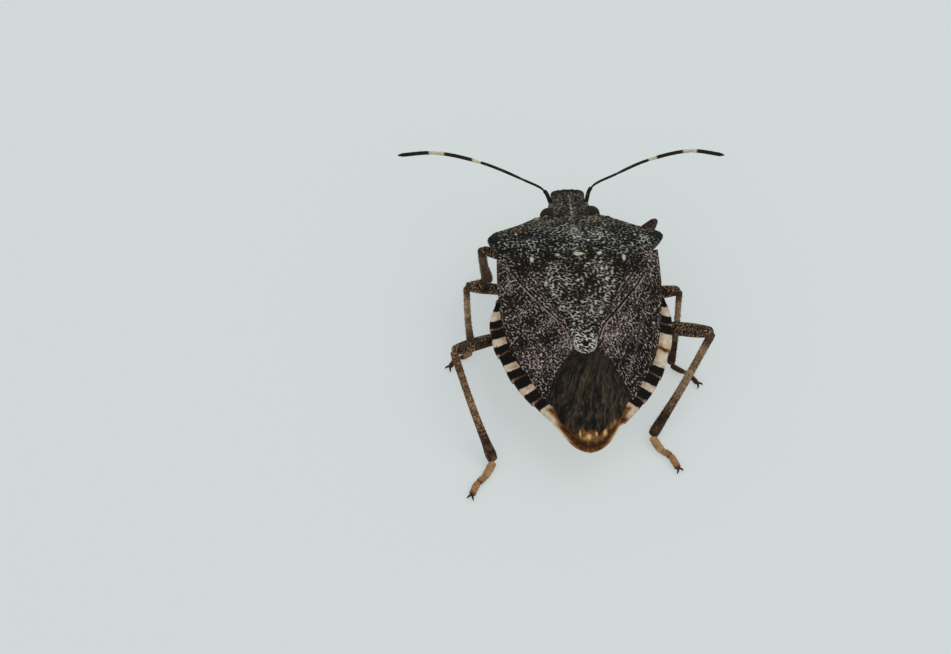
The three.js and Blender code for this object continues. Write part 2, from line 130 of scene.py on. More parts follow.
def cloud(x, y, size, seed):
    # Soft uneven patches between 0 and 1, about one size apart
    total = np.zeros_like(np.asarray(x, float))
    weight = 0.0
    for octave in range(3):
        scale = 2 ** octave / size
        share = 0.5 ** octave
        gx = x * scale
        gy = y * scale
        cx = np.floor(gx)
        cy = np.floor(gy)
        tx = (gx - cx) ** 2 * (3 - 2 * (gx - cx))
        ty = (gy - cy) ** 2 * (3 - 2 * (gy - cy))
        corner = [[chance(cx + dx, cy + dy, seed + octave) for dx in (0, 1)] for dy in (0, 1)]
        low = corner[0][0] * (1 - tx) + corner[0][1] * tx
        high = corner[1][0] * (1 - tx) + corner[1][1] * tx
        total = total + share * (low * (1 - ty) + high * ty)
        weight += share
    return total / weight


def slanted(x, y, degrees):
    turn = np.radians(degrees)
    return x * np.cos(turn) - y * np.sin(turn), x * np.sin(turn) + y * np.cos(turn)


def pits(x, y, seed, scatter=0.95):
    # Distance to the nearest of many scattered points that are one apart
    cx = np.floor(x)
    cy = np.floor(y)
    nearest = np.full(np.shape(x), 9.0)
    for dx in (-1, 0, 1):
        for dy in (-1, 0, 1):
            px = cx + dx + 0.5 + scatter * (chance(cx + dx, cy + dy, seed) - 0.5)
            py = cy + dy + 0.5 + scatter * (chance(cx + dx, cy + dy, seed + 31) - 0.5)
            nearest = np.minimum(nearest, np.hypot(x - px, y - py))
    return nearest


# The back is one surface: a height on the midline and a fall to each side
crest = profile([(-5.4, 2.85), (-5.0, 3.05), (-3.9, 3.45), (-2.85, 3.88), (-1.6, 4.55), (-0.6, 4.98),
                 (0.1, 5.13), (1.2, 5.12), (3.0, 4.72), (5.2, 4.08), (7.5, 3.28), (9.3, 2.56),
                 (9.75, 2.36)])
fall = profile([(-3.15, 0.1), (-2.8, 0.06), (-2.4, 0.038), (-1.4, 0.019), (0, 0.045), (1, 0.058),
                (3.2, 0.075), (6, 0.085), (8, 0.11), (9.75, 0.15)])
scutellumHalf = profile([(-0.16, 2.5), (0.6, 2.38), (1.6, 2.0), (2.2, 1.66), (2.9, 1.26), (3.85, 0.78),
                         (4.4, 0.65), (4.8, 0.6), (5.2, 0.58)])
abdomenHalf = profile([(1.6, 3.9), (2.05, 4.15), (2.8, 4.42), (3.6, 4.41), (4.9, 4.06), (6.05, 3.57),
                       (7.2, 2.72), (8.16, 1.84), (9.1, 1.03), (9.5, 0.8), (9.73, 0.7)])
wingEdge = profile([(-0.5, 3.84), (0.3, 3.95), (1.4, 4.0), (2.9, 3.95), (4.2, 3.74), (4.9, 3.5), (6.1, 2.85),
                    (7.1, 2.28), (7.5, 2.0), (8.2, 1.5), (8.8, 0.95), (9.15, 0.45)])

# The left side of the abdomen and the left wing keep a little further in than the right side
leftTrim = profile([(3.0, 0), (4.0, 0.07), (5.5, 0.17), (7.0, 0.2), (8.05, 0.18), (8.4, 0.05), (8.8, 0)])
wingTrim = profile([(3.2, 0), (4.6, 0.1), (5.6, 0.2), (7.2, 0.22)])


def back(x, y):
    return crest(y) - fall(y) * x * x


def onlySelect(piece):
    bpy.ops.object.select_all(action="DESELECT")
    piece.select_set(True)
    bpy.context.view_layer.objects.active = piece


def closeSkin(piece):
    # Merges the seam and the poles of a skin that was rolled from a grid
    onlySelect(piece)
    bpy.ops.object.mode_set(mode="EDIT")
    bpy.ops.mesh.select_all(action="SELECT")
    bpy.ops.mesh.remove_doubles(threshold=1e-7)
    bpy.ops.mesh.dissolve_degenerate(threshold=1e-8)
    bpy.ops.mesh.normals_make_consistent(inside=False)
    bpy.ops.object.mode_set(mode="OBJECT")
    bpy.ops.object.shade_smooth()


def painted(flake, warm):
    return {"flake": np.clip(flake, 0, 1), "warm": np.clip(warm, 0, 1)}


def bumps(x, y, spots):
    # Low swellings and hollows on both sides: height, place and size of each
    return sum(high * blob(np.abs(x), y, *spot) for high, *spot in spots)


def addLayers(mesh, paints):
    count = len(mesh.vertices)
    for label, values in paints.items():
        layer = mesh.attributes.new(label, "FLOAT", "POINT")
        layer.data.foreach_set("value", np.broadcast_to(values, count).astype(np.float32))


def rollSkin(name, columns, rows, shape):
    # A grid rolled into a closed skin: shape(u, v) gives places in mm and what is painted on them
    bpy.ops.object.select_all(action="DESELECT")
    bpy.ops.mesh.primitive_grid_add(x_subdivisions=columns, y_subdivisions=rows, size=2)
    piece = bpy.context.object
    piece.name = name
    piece.data.name = name
    places = np.empty(len(piece.data.vertices) * 3)
    piece.data.vertices.foreach_get("co", places)
    u = np.round((places[0::3] + 1) / 2 * columns) / columns
    v = np.round((places[1::3] + 1) / 2 * rows) / rows
    points, paints = shape(u, v)
    piece.data.vertices.foreach_set("co", toFrame(points).ravel())
    addLayers(piece.data, paints)
    piece.data.update()
    closeSkin(piece)
    return piece


def finishPiece(piece, material, slotName, *nodes):
    piece.data.materials.clear()
    piece.data.materials.append(material)
    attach(piece, "root")
    if nodes:
        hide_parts(*nodes)
    return piece


def roundEdge(distance, radius):
    t = np.clip(distance / radius, 0, 1)
    return np.sqrt(1 - (1 - t) ** 2)


def rollPlate(name, plan, outline, height, paint):
    # A thin plate on the back with rounded edges: its top runs across, and its underside runs back
    columns = plan["columns"]
    under = plan["underColumns"]

    def shape(u, v):
        around = u * (columns + under)
        isTop = around <= columns + 1e-6
        across = np.where(isTop, around / columns, 1 - (around - columns) / under)
        x, y = outline(across, v)
        leftX, leftY = outline(np.zeros_like(v), v)
        rightX, rightY = outline(np.ones_like(v), v)
        frontX, frontY = outline(across, np.zeros_like(v))
        rearX, rearY = outline(across, np.ones_like(v))
        width = np.hypot(leftX - rightX, leftY - rightY)
        length = np.hypot(frontX - rearX, frontY - rearY)
        sideGap = np.minimum(across, 1 - across) * width
        frontGap = v * length
        rearGap = (1 - v) * length
        edge = roundEdge(sideGap, plan["rounding"]) * roundEdge(frontGap, plan["frontRounding"])
        edge = edge * roundEdge(rearGap, plan["rearRounding"])
        top, paints = paint(x, y, across, v, sideGap)
        surface = height(x, y, across, v, sideGap)
        drop = plan["thickness"] / 2 * (1 - edge)
        z = np.where(isTop, surface + top * edge - drop, surface - plan["thickness"] + drop)
        return np.stack([x, y, z], -1), paints

    return rollSkin(name, columns + under, plan["rows"], shape)


def marbling(x, y, plan, seeds, shade, spread=0.17):
    # Scattered pits with pale marks between them: fewer marks where shade is high
    wide, long = plan["pitSize"]
    wobbleSeed, pitSeed, patchSeed, fineSeed = seeds
    wobble = plan["wobble"] * (cloud(x, y, 0.4, wobbleSeed) - 0.5)
    level, down = slanted(x, y, plan["slant"])
    distance = pits(level / wide + wobble, down / long - wobble, pitSeed)
    patches = plan["patchShare"] * (cloud(x, y, plan["patchSize"], patchSeed) - 0.5)
    threshold = 0.51 - patches + shade - 0.26 * (cloud(x, y, 0.1, fineSeed) - 0.5)
    dents = -plan["pitDepth"] * (1 - smooth(0.12, 0.5, distance))
    return smooth(threshold - spread, threshold + spread, distance), dents


# Shader helpers
def addNode(tree, kind, settings=None, inputs=None):
    made = tree.nodes.new(kind)
    for key, value in (settings or {}).items():
        setattr(made, key, value)
    for key, value in (inputs or {}).items():
        if isinstance(value, bpy.types.NodeSocket):
            tree.links.new(value, made.inputs[key])
        else:
            made.inputs[key].default_value = value
    return made


def srgb(red, green, blue):
    def linear(value):
        value = value / 255
        return value / 12.92 if value <= 0.04045 else ((value + 0.055) / 1.055) ** 2.4
    return (linear(red), linear(green), linear(blue), 1.0)


def newGroup(name, inputs, outputs):
    group = bpy.data.node_groups.new(name, "ShaderNodeTree")
    for label, kind, value in inputs:
        socket = group.interface.new_socket(name=label, in_out="INPUT", socket_type=kind)
        if value is not None:
            socket.default_value = value
    for label, kind in outputs:
        group.interface.new_socket(name=label, in_out="OUTPUT", socket_type=kind)
    return group, group.nodes.new("NodeGroupInput"), group.nodes.new("NodeGroupOutput")


def makeGrainGroup():
    # Fine uneven tone and roughness of a horny shell, with the height of its smallest dents
    group, given, result = newGroup("shellGrain", [
        ("Vector", "NodeSocketVector", None), ("Scale", "NodeSocketFloat", 10.0),
        ("Dent Scale", "NodeSocketFloat", 14.0),
    ], [("Tone", "NodeSocketFloat"), ("Rough", "NodeSocketFloat"), ("Height", "NodeSocketFloat")])
    noise = addNode(group, "ShaderNodeTexNoise", None, {
        "Vector": given.outputs["Vector"], "Scale": given.outputs["Scale"], "Detail": 5.0, "Roughness": 0.65})
    dents = addNode(group, "ShaderNodeTexVoronoi", None, {
        "Vector": given.outputs["Vector"], "Scale": given.outputs["Dent Scale"]})
    rough = addNode(group, "ShaderNodeMapRange", None, {
        "Value": noise.outputs["Fac"], "From Min": 0.3, "From Max": 0.7, "To Min": 0.42, "To Max": 0.68})
    dented = addNode(group, "ShaderNodeMath", {"operation": "MULTIPLY_ADD"}, {
        0: noise.outputs["Fac"], 1: 0.5, 2: dents.outputs["Distance"]})
    group.links.new(noise.outputs["Fac"], result.inputs["Tone"])
    group.links.new(rough.outputs["Result"], result.inputs["Rough"])
    group.links.new(dented.outputs["Value"], result.inputs["Height"])
    return group


grainGroup = makeGrainGroup()


shellPlan = {"dentDepth": 0.00003, "coatRough": 0.3}


def shellMaterial(name, look):
    # A horny surface: a ramp over the painted layer "flake", tinted by the painted layer "warm"
    material = bpy.data.materials.new(name)
    material.use_nodes = True
    tree = material.node_tree
    tree.nodes.clear()
    place = addNode(tree, "ShaderNodeTexCoord")
    inMillimetres = addNode(tree, "ShaderNodeMapping", None, {
        "Vector": place.outputs["Object"], "Scale": (1000, 1000, 1000)})
    grain = addNode(tree, "ShaderNodeGroup", {"node_tree": grainGroup}, {
        "Vector": inMillimetres.outputs["Vector"], "Scale": look["grainScale"],
        "Dent Scale": look["dentScale"]})
    flake = addNode(tree, "ShaderNodeAttribute", {"attribute_name": "flake"})
    warm = addNode(tree, "ShaderNodeAttribute", {"attribute_name": "warm"})
    shifted = addNode(tree, "ShaderNodeMath", {"operation": "MULTIPLY_ADD"}, {
        0: grain.outputs["Tone"], 1: look["grainShare"], 2: flake.outputs["Fac"]})
    levelled = addNode(tree, "ShaderNodeMath", {"operation": "SUBTRACT"}, {
        0: shifted.outputs["Value"], 1: look["grainShare"] * 0.5})
    ramps = []
    for colourKey, stopKey in (("colours", "stops"), ("warmColours", "warmStops")):
        ramp = addNode(tree, "ShaderNodeValToRGB", None, {"Fac": levelled.outputs["Value"]})
        elements = ramp.color_ramp.elements
        while len(elements) < len(usualStops):
            elements.new(0.5)
        stops = look.get(stopKey, usualStops)
        for element, position, colour in zip(elements, stops, look[colourKey]):
            element.position = position
            element.color = srgb(*colour)
        ramps.append(ramp)
    tint = addNode(tree, "ShaderNodeMix", {"data_type": "RGBA"}, {
        "Factor": warm.outputs["Fac"], 6: ramps[0].outputs["Color"], 7: ramps[1].outputs["Color"]})
    bump = addNode(tree, "ShaderNodeBump", None, {
        "Height": grain.outputs["Height"], "Strength": look["bump"], "Distance": shellPlan["dentDepth"]})
    shader = addNode(tree, "ShaderNodeBsdfPrincipled", None, {
        "Base Color": tint.outputs["Result"], "Roughness": grain.outputs["Rough"],
        "Normal": bump.outputs["Normal"], "Specular IOR Level": look["specular"],
        "Coat Weight": look["coat"], "Coat Roughness": shellPlan["coatRough"]})
    output = addNode(tree, "ShaderNodeOutputMaterial")
    tree.links.new(shader.outputs["BSDF"], output.inputs["Surface"])
    return material


usualStops = (0.0, 0.3, 0.62, 1.0)
shieldLook = {
    "grainScale": 11.0, "dentScale": 16.0, "grainShare": 0.3, "bump": 0.5, "specular": 0.06, "coat": 0.0,
    "colours": [(8, 9, 8), (43, 43, 39), (104, 103, 96), (194, 191, 181)],
    "warmColours": [(26, 17, 9), (76, 54, 34), (146, 118, 84), (208, 192, 156)],
}
wingLook = {
    "grainScale": 12.0, "dentScale": 17.0, "grainShare": 0.3, "bump": 0.5, "specular": 0.06, "coat": 0.0,
    "colours": [(12, 9, 9), (51, 41, 39), (109, 96, 92), (186, 172, 168)],
    "warmColours": [(15, 11, 7), (52, 44, 34), (108, 98, 84), (184, 174, 156)],
}
membraneLook = {
    "grainScale": 19.0, "dentScale": 11.0, "grainShare": 0.9, "bump": 0.2, "specular": 0.1, "coat": 0.03,
    "colours": [(5, 4, 3), (32, 27, 21), (62, 53, 44), (140, 126, 106)],
    "stops": (0.0, 0.3, 0.6, 1.0),
    "warmColours": [(20, 10, 4), (82, 50, 20), (134, 94, 48), (206, 172, 118)],
    "warmStops": (0.0, 0.3, 0.6, 1.0),
}
bellyLook = {
    "grainScale": 9.0, "dentScale": 13.0, "grainShare": 0.18, "bump": 0.3, "specular": 0.08, "coat": 0.0,
    "colours": [(9, 9, 8), (20, 17, 15), (124, 92, 83), (212, 200, 174)],
    "stops": (0.0, 0.2, 0.38, 0.92),
    "warmColours": [(24, 12, 5), (78, 44, 16), (142, 98, 48), (214, 188, 142)],
    "warmStops": (0.0, 0.2, 0.5, 0.92),
}
limbLook = {
    "grainScale": 9.0, "dentScale": 14.0, "grainShare": 0.5, "bump": 0.4, "specular": 0.1, "coat": 0.0,
    "colours": [(14, 12, 9), (60, 52, 41), (122, 107, 86), (196, 180, 150)],
    "warmColours": [(26, 14, 7), (88, 60, 38), (156, 126, 93), (214, 190, 150)],
}
footLook = {
    "grainScale": 9.0, "dentScale": 14.0, "grainShare": 0.4, "bump": 0.4, "specular": 0.1, "coat": 0.0,
    "colours": [(18, 12, 8), (66, 48, 32), (132, 104, 72), (202, 178, 142)],
    "warmColours": [(30, 15, 7), (98, 62, 32), (166, 126, 84), (224, 192, 150)],
}
feelerLook = {
    "grainScale": 12.0, "dentScale": 22.0, "grainShare": 0.2, "bump": 0.3, "specular": 0.1, "coat": 0.0,
    "colours": [(8, 10, 8), (30, 34, 28), (148, 134, 104), (222, 214, 190)],
    "warmColours": [(24, 18, 11), (70, 54, 36), (152, 124, 86), (210, 186, 144)],
}
eyeLook = {
    "grainScale": 14.0, "dentScale": 24.0, "grainShare": 0.4, "bump": 0.35, "specular": 0.1, "coat": 0.0,
    "colours": [(7, 7, 5), (28, 26, 16), (52, 47, 30), (84, 74, 54)],
    "stops": (0.0, 0.4, 0.7, 1.0),
    "warmColours": [(40, 14, 8), (86, 32, 18), (130, 56, 30), (170, 86, 50)],
    "warmStops": (0.0, 0.4, 0.7, 1.0),
}

shieldMaterial = shellMaterial("pittedShell", shieldLook)
wingMaterial = shellMaterial("wingLeather", wingLook)
membraneMaterial = shellMaterial("wingFilm", membraneLook)
bellyMaterial = shellMaterial("bellyShell", bellyLook)
limbMaterial = shellMaterial("limbShell", limbLook)
footMaterial = shellMaterial("footShell", footLook)
feelerMaterial = shellMaterial("feelerShell", feelerLook)
eyeMaterial = shellMaterial("facettedEye", eyeLook)
print("materials done")


# Pronotum
pronotumPlan = {
    "columns": 300, "underColumns": 60, "rows": 118, "thickness": 0.4,
    "rounding": 0.15, "frontRounding": 0.1, "rearRounding": 0.12,
    "margin": [(1.75, -3.15), (2.6, -2.6), (3.5, -2.06), (4.12, -1.78), (4.34, -1.42), (4.24, -1.02),
               (4.0, -0.72), (3.6, -0.36)],
    "front": -2.9, "rear": -0.08, "pitSize": (0.145, 0.094), "pitDepth": 0.03, "slant": 26,
    "seeds": (3, 5, 11, 12), "wobble": 0.6, "patchSize": 0.8, "patchShare": 0.36, "lift": 0.04,
    "bumps": [(0.07, 0.95, -2.3, 0.42, 0.26), (0.06, 4.0, -1.35, 0.3, 0.35), (-0.05, 2.5, -1.3, 0.6, 0.35)],
    "darkSpots": [(-0.46, -1.35, 0.13, 0.5), (-2.75, -1.05, 0.38, 0.32), (1.35, -0.7, 0.3, 0.2),
                  (3.3, -0.5, 0.6, 0.2), (-0.95, -0.42, 0.5, 0.2), (2.6, -1.5, 0.2, 0.2),
                  (-1.9, -1.9, 0.35, 0.2)],
    "paleSpots": [(0.0, -1.2, 0.34, 0.9), (-1.05, -1.3, 0.3, 0.25), (-3.27, -1.15, 0.38, 0.22),
                  (2.3, -1.0, 0.35, 0.2), (1.0, -2.55, 0.3, 0.14), (-1.03, -2.7, 0.3, 0.14)],
    "flecks": [(0.99, -2.49, 0.13, 0.06), (-1.03, -2.64, 0.15, 0.06), (-1.0, -3.05, 0.12, 0.08),
               (1.12, -3.15, 0.16, 0.09), (-2.75, -2.4, 0.26, 0.1), (-2.08, -2.86, 0.16, 0.08),
               (1.8, -2.9, 0.2, 0.12)],
}


def blobs(x, y, spots):
    total = 0 * x
    for spot in spots:
        total = np.maximum(total, blob(x, y, *spot))
    return total


def makePronotum():
    plan = pronotumPlan
    margin = curve(plan["margin"])

    def outline(across, v):
        side = 2 * across - 1
        side = np.sign(side) * (1 - (1 - np.abs(side)) ** 1.25)
        edge = margin(v)
        middle = plan["front"] + (plan["rear"] - plan["front"]) * v
        bend = 1 - np.abs(side) ** (2 + 2 * v)
        horn = -0.2 * bell(np.abs(side) * edge[:, 0] - 1.3, 0.3) * (1 - v) ** 6
        # The left margin in front of its shoulder lies a little further forward,
        horn = horn - 0.14 * bell(edge[:, 1] + 2.0, 0.3) * smooth(0.3, 1.0, side) * (v < 0.6)
        # and so does the right one behind its shoulder
        horn = horn - 0.1 * bell(edge[:, 1] + 0.9, 0.4) * smooth(0.3, 1.0, -side)
        return side * edge[:, 0], edge[:, 1] + (middle - edge[:, 1]) * bend + horn

    def height(x, y, across, v, sideGap):
        swelling = bumps(x, y, plan["bumps"])
        rim = 0.05 * bell(sideGap - 0.1, 0.06) * smooth(0.72, 0.5, v)
        collar = 0.04 * bell(v - 0.035, 0.025)
        furrow = -0.03 * bell(x, 0.12) * smooth(-0.6, -1.6, y)
        return back(x, y) + plan["lift"] + swelling + rim + collar + furrow

    def paint(x, y, across, v, sideGap):
        away = np.abs(x)
        shoulder = blob(away, y, 4.3, -1.45, 0.42, 0.5)
        dark = 0.26 * shoulder + 0.2 * blobs(x, y, plan["darkSpots"])
        dark = dark + 0.12 * blob(away, y, 1.0, -2.2, 0.4, 0.16)
        middleLine = bell(x, 0.06) * smooth(-1.4, -2.0, y)
        pale = 0.16 * blobs(x, y, plan["paleSpots"]) + 0.16 * middleLine
        inFront = smooth(-1.3, -2.5, y)
        mark, top = marbling(x, y, plan, plan["seeds"], dark - pale, 0.17 + 0.08 * inFront)
        bright = 0.4 + 0.6 * cloud(x, y, 0.16, 21) + 0.1 * middleLine - 0.18 * inFront
        flake = mark * bright * (1 - 0.7 * shoulder) + 0.12 * cloud(x, y, 0.13, 22) + 0.06 * inFront
        # The edges in front are pale and pinkish, and a thin brown rim runs round the shoulders
        flecks = smooth(0.36, 0.6, cloud(x, y, 0.13, 8))
        frontEdge = bell(sideGap, 0.1) * smooth(0.66, 0.45, v) * smooth(0.0, 0.08, v)
        flake = np.maximum(flake, 0.6 * frontEdge * (0.4 + 0.6 * flecks))
        spots = blobs(x, y, plan["flecks"])
        flake = np.maximum(flake, 0.95 * spots * (0.45 + 0.55 * flecks))
        rimLine = bell(sideGap, 0.07) * smooth(0.4, 0.5, v) * smooth(0.86, 0.74, v)
        flake = np.maximum(flake, 0.42 * rimLine)
        rearEdge = bell(sideGap, 0.06) * smooth(0.8, 0.88, v) * flecks
        flake = np.maximum(flake, 0.5 * rearEdge)
        redSide = blob(x, y, 2.9, -2.05, 0.7, 0.3)
        warm = 0.8 * frontEdge + rimLine + 0.4 * spots + 0.16 * inFront + 0.35 * redSide
        return top, painted(flake, warm)

    return rollPlate("pronotum_shield", plan, outline, height, paint)


finishPiece(makePronotum(), shieldMaterial, "shell", "pronotum")
print("pronotum done")


# Scutellum
scutellumPlan = {
    "columns": 180, "underColumns": 36, "rows": 210, "thickness": 0.22,
    "rounding": 0.1, "frontRounding": 0.08, "rearRounding": 0.1,
    "front": -0.16, "tip": 5.2, "pitSize": (0.165, 0.082), "pitDepth": 0.03, "slant": 18,
    "seeds": (13, 15, 41, 42), "wobble": 0.6, "patchSize": 0.75, "patchShare": 0.36, "lift": 0.05,
    "darkSpots": [(1.5, 0.1, 0.3, 0.2), (-0.55, 0.12, 0.22, 0.2), (0.62, 0.14, 0.2, 0.2),
                  (0.15, 1.15, 0.35, 0.3), (-0.5, 1.6, 0.3, 0.35), (1.9, 0.75, 0.3, 0.5),
                  (-1.9, 0.75, 0.3, 0.5), (-1.5, 0.15, 0.25, 0.15)],
    "paleSpots": [(1.45, 1.2, 0.25, 0.5), (0.6, 1.9, 0.4, 0.3), (-1.2, 0.9, 0.3, 0.35),
                  (-0.45, 2.9, 0.3, 0.5)],
    "flecks": [(0.04, 0.13, 0.26, 0.1), (-0.99, 0.08, 0.15, 0.07), (1.08, 0.13, 0.12, 0.08),
               (-2.2, 0.26, 0.09, 0.17), (2.33, 0.22, 0.1, 0.16)],
}


def makeScutellum():
    plan = scutellumPlan

    def outline(across, v):
        y = plan["front"] + (plan["tip"] - plan["front"]) * (1 - (1 - v) ** 1.3)
        return (2 * across - 1) * scutellumHalf(y) * roundEdge(plan["tip"] - y, 0.52), y

    def height(x, y, across, v, sideGap):
        swelling = 0.06 * blob(x, y, 0, 0.9, 1.3, 0.8)
        tongue = -0.05 * smooth(3.6, 4.4, y) * bell(x, 0.3)
        return back(x, y) + plan["lift"] + swelling + tongue

    def paint(x, y, across, v, sideGap):
        tongue = smooth(3.5, 4.7, y)
        dark = 0.2 * blobs(x, y, plan["darkSpots"]) + 0.06 * smooth(1.0, 0.2, y)
        dark = dark + 0.42 * blob(x, y, 0.0, 4.71, 0.17, 0.13)
        # A pale band runs inside each side edge
        band = bell(sideGap - 0.36, 0.14) * smooth(0.4, 1.0, y) * smooth(3.8, 3.2, y)
        pale = 0.14 * tongue + 0.12 * blobs(x, y, plan["paleSpots"]) + 0.1 * band
        sideBand = 0.07 * bell(sideGap, 0.13) * smooth(4.3, 3.4, y)
        mark, dents = marbling(x, y, plan, plan["seeds"], dark - pale + sideBand)
        bright = 0.42 + 0.22 * tongue + 0.6 * cloud(x, y, 0.16, 51)
        flake = mark * bright * (1 - 0.5 * np.clip(dark, 0, 1)) + (0.1 + 0.1 * tongue) * cloud(x, y, 0.13, 52)
        spots = np.clip(2.3 * blobs(x, y, plan["flecks"]) - 0.2, 0, 1)
        broken = smooth(0.2, 0.45, cloud(x, y, 0.12, 53))
        # A smooth pale rim runs round the tongue
        tipGap = (1 - np.hypot(x / 0.6, np.maximum(y - plan["tip"] + 0.52, 0) / 0.52)) * 0.55
        rimLine = bell(tipGap - 0.06, 0.045) * smooth(4.1, 4.6, y)
        flake = np.maximum(flake * (1 - 0.5 * rimLine), 0.92 * rimLine)
        flake = np.maximum(flake, spots * (0.7 + 0.2 * broken + 0.1 * mark))
        warm = 0.12 * spots + 0.12
        return dents * (1 - spots), painted(flake, warm)

    return rollPlate("scutellum_shield", plan, outline, height, paint)


finishPiece(makeScutellum(), shieldMaterial, "shell", "scutellum")
print("scutellum done")


# Forewings, the leathery part. A furrow parts the long triangle beside the scutellum from the rest.
wingPlan = {
    "columns": 160, "underColumns": 26, "rows": 300, "thickness": 0.2,
    "rounding": 0.1, "frontRounding": 0.1, "rearRounding": 0.06,
    "innerEnd": [(0.62, 4.98), (1.04, 5.4), (1.46, 5.98), (1.86, 6.56), (2.2, 7.12)],
    "outer": [(3.97, -0.48), (4.02, 0.5), (4.03, 1.5), (3.86, 3.4), (3.5, 4.9), (2.86, 6.1), (2.26, 7.14)],
    "pitSize": (0.118, 0.077), "pitDepth": 0.024, "slant": 40, "wobble": 0.5, "patchSize": 0.7,
    "patchShare": 0.34, "lift": 0.01,
    "furrow": [(-0.4, 3.92), (0.4, 3.53), (1.15, 3.14), (1.85, 2.68), (2.45, 2.19), (3.07, 1.68),
               (3.42, 1.36), (3.82, 1.02), (4.3, 0.8), (5.0, 0.52)],
    "veins": [(-0.3, 3.6), (1.5, 3.45), (3.2, 3.02), (4.8, 2.5), (6.0, 2.12), (6.8, 2.1)],
    "darkSpots": [(2.6, 3.35, 0.4, 0.3), (2.79, 4.25, 0.24, 0.2), (-1.75, 5.55, 0.34, 0.26),
                  (-3.5, 1.95, 0.3, 0.4), (3.3, 2.1, 0.4, 0.35), (-2.5, 4.7, 0.5, 0.3), (1.9, 4.3, 0.35, 0.3),
                  (-3.2, 3.6, 0.3, 0.4)],
    "paleSpots": [(2.63, 4.33, 0.18, 0.15), (2.52, 5.38, 0.16, 0.16), (1.6, 3.42, 0.14, 0.16),
                  (1.0, 4.6, 0.3, 0.4), (-1.1, 4.5, 0.3, 0.5), (2.3, 5.1, 0.4, 0.5),
                  (-2.1, 3.4, 0.35, 0.35)],
}


def makeForewing(side, name, seed):
    plan = wingPlan
    innerEdge = [(float(scutellumHalf(y)) - 0.06, y) for y in (-0.1, 1.2, 2.2, 3.2, 4.1, 4.6)]
    inner = curve(innerEdge + plan["innerEnd"])
    outer = curve(plan["outer"])
    furrowAt = profile(plan["furrow"])
    veinAt = profile(plan["veins"])

    def outline(across, v):
        share = (1 - (1 - across) ** 1.2)[:, None]
        places = inner(v) * (1 - share) + outer(v) * share
        trimmed = np.maximum(share[:, 0] ** 3, smooth(6.2, 7.0, places[:, 1]))
        trim = wingTrim(places[:, 1]) * trimmed * (side > 0)
        return side * (places[:, 0] - trim), places[:, 1]

    def gapTo(path, x, y):
        steep = (path(y + 0.05) - path(y - 0.05)) / 0.1
        return (np.abs(x) - path(y)) / np.hypot(1, steep)

    def relief(x, y):
        fade = smooth(5.0, 4.4, y) * smooth(0.4, 1.1, y)
        furrowGap = gapTo(furrowAt, x, y)
        furrow = bell(furrowGap + 0.06, 0.03) * fade
        ridge = bell(furrowGap, 0.04) * fade
        mainVein = bell(gapTo(veinAt, x, y), 0.07) * smooth(6.6, 5.6, y)
        branch = bell(gapTo(lambda at: veinAt(at) - 0.55 * smooth(2.6, 5.2, at), x, y), 0.06)
        branch = branch * smooth(2.8, 3.4, y) * smooth(6.4, 5.6, y)
        return furrowGap, furrow, ridge, np.maximum(mainVein, 0.8 * branch)

    def height(x, y, across, v, sideGap):
        furrow, ridge, vein = relief(x, y)[1:]
        costa = 0.05 * np.exp(-((1 - across) * 6) ** 2) * smooth(0.95, 0.8, v)
        return back(x, y) + plan["lift"] - 0.035 * furrow + 0.03 * ridge + 0.03 * vein + costa

    def paint(x, y, across, v, sideGap):
        furrowGap, furrow, ridge, vein = relief(x, y)
        wobble = plan["wobble"] * (cloud(x, y, 0.4, seed) - 0.5)
        # Fine pale lines run beside the furrow, with rows of pits between them
        onClavus = smooth(-0.85, -0.6, furrowGap) * smooth(0.02, -0.05, furrowGap) * smooth(4.4, 3.6, y)
        onClavus = onClavus * smooth(0.5, 1.3, y)
        lines = np.cos(furrowGap / 0.075 * np.pi + 0.5 * wobble)
        dark = 0.2 * blobs(x, y, plan["darkSpots"]) + 0.1 * furrow
        dark = dark + 0.22 * blob(np.abs(x), y, 2.75, 0.55, 0.35, 0.6) - 0.09 * lines * onClavus
        outerGap = np.where(across > 0.5, sideGap, 9)
        costal = bell(outerGap, 0.1) * smooth(5.6, 5.0, y)
        pale = 0.08 * vein + 0.16 * blobs(x, y, plan["paleSpots"])
        seeds = (seed, seed + 2, seed + 5, seed + 4)
        mark, top = marbling(x, y, plan, seeds, dark - pale + 0.15 * costal)
        flake = mark * (0.4 + 0.62 * cloud(x, y, 0.15, seed + 7)) * (1 - 0.4 * np.clip(dark, 0, 1))
        flake = flake + 0.1 * cloud(x, y, 0.13, seed + 6)
        line = smooth(0.32, 0.56, cloud(x, y, 0.16, seed + 3))
        flake = np.maximum(flake, 0.9 * ridge * (0.4 + 0.6 * line))
        flake = np.maximum(flake, 0.44 * onClavus * smooth(0.2, 0.9, lines) * line)
        flake = np.maximum(flake, 0.42 * vein * line)
        flake = flake * (1 - 0.4 * furrow)
        costaLine = bell(outerGap - 0.16, 0.04) * smooth(5.8, 5.2, y) * line
        dots = smooth(0.3, 0.16, pits(y / 0.24, 0.5 + 0 * y, seed + 12, 0.4)) * costal
        flake = np.maximum(flake, np.maximum(0.5 * costaLine, 0.6 * dots * line))
        # The edge along the membrane is a pale line
        rearLine = bell(sideGap, 0.045) * (across < 0.5) * smooth(5.0, 5.3, y)
        flake = np.maximum(flake, 0.62 * rearLine * (0.3 + 0.7 * line) * (1.2 if side < 0 else 0.6))
        brown = smooth(2.5, 3.5, np.abs(x)) * smooth(4.6, 3.0, y)
        warm = 0.2 + 0.45 * brown + 0.4 * onClavus + 0.4 * (cloud(x, y, 1.1, seed + 8) - 0.5)
        return top, painted(flake, warm)

    return rollPlate(name, plan, outline, height, paint)


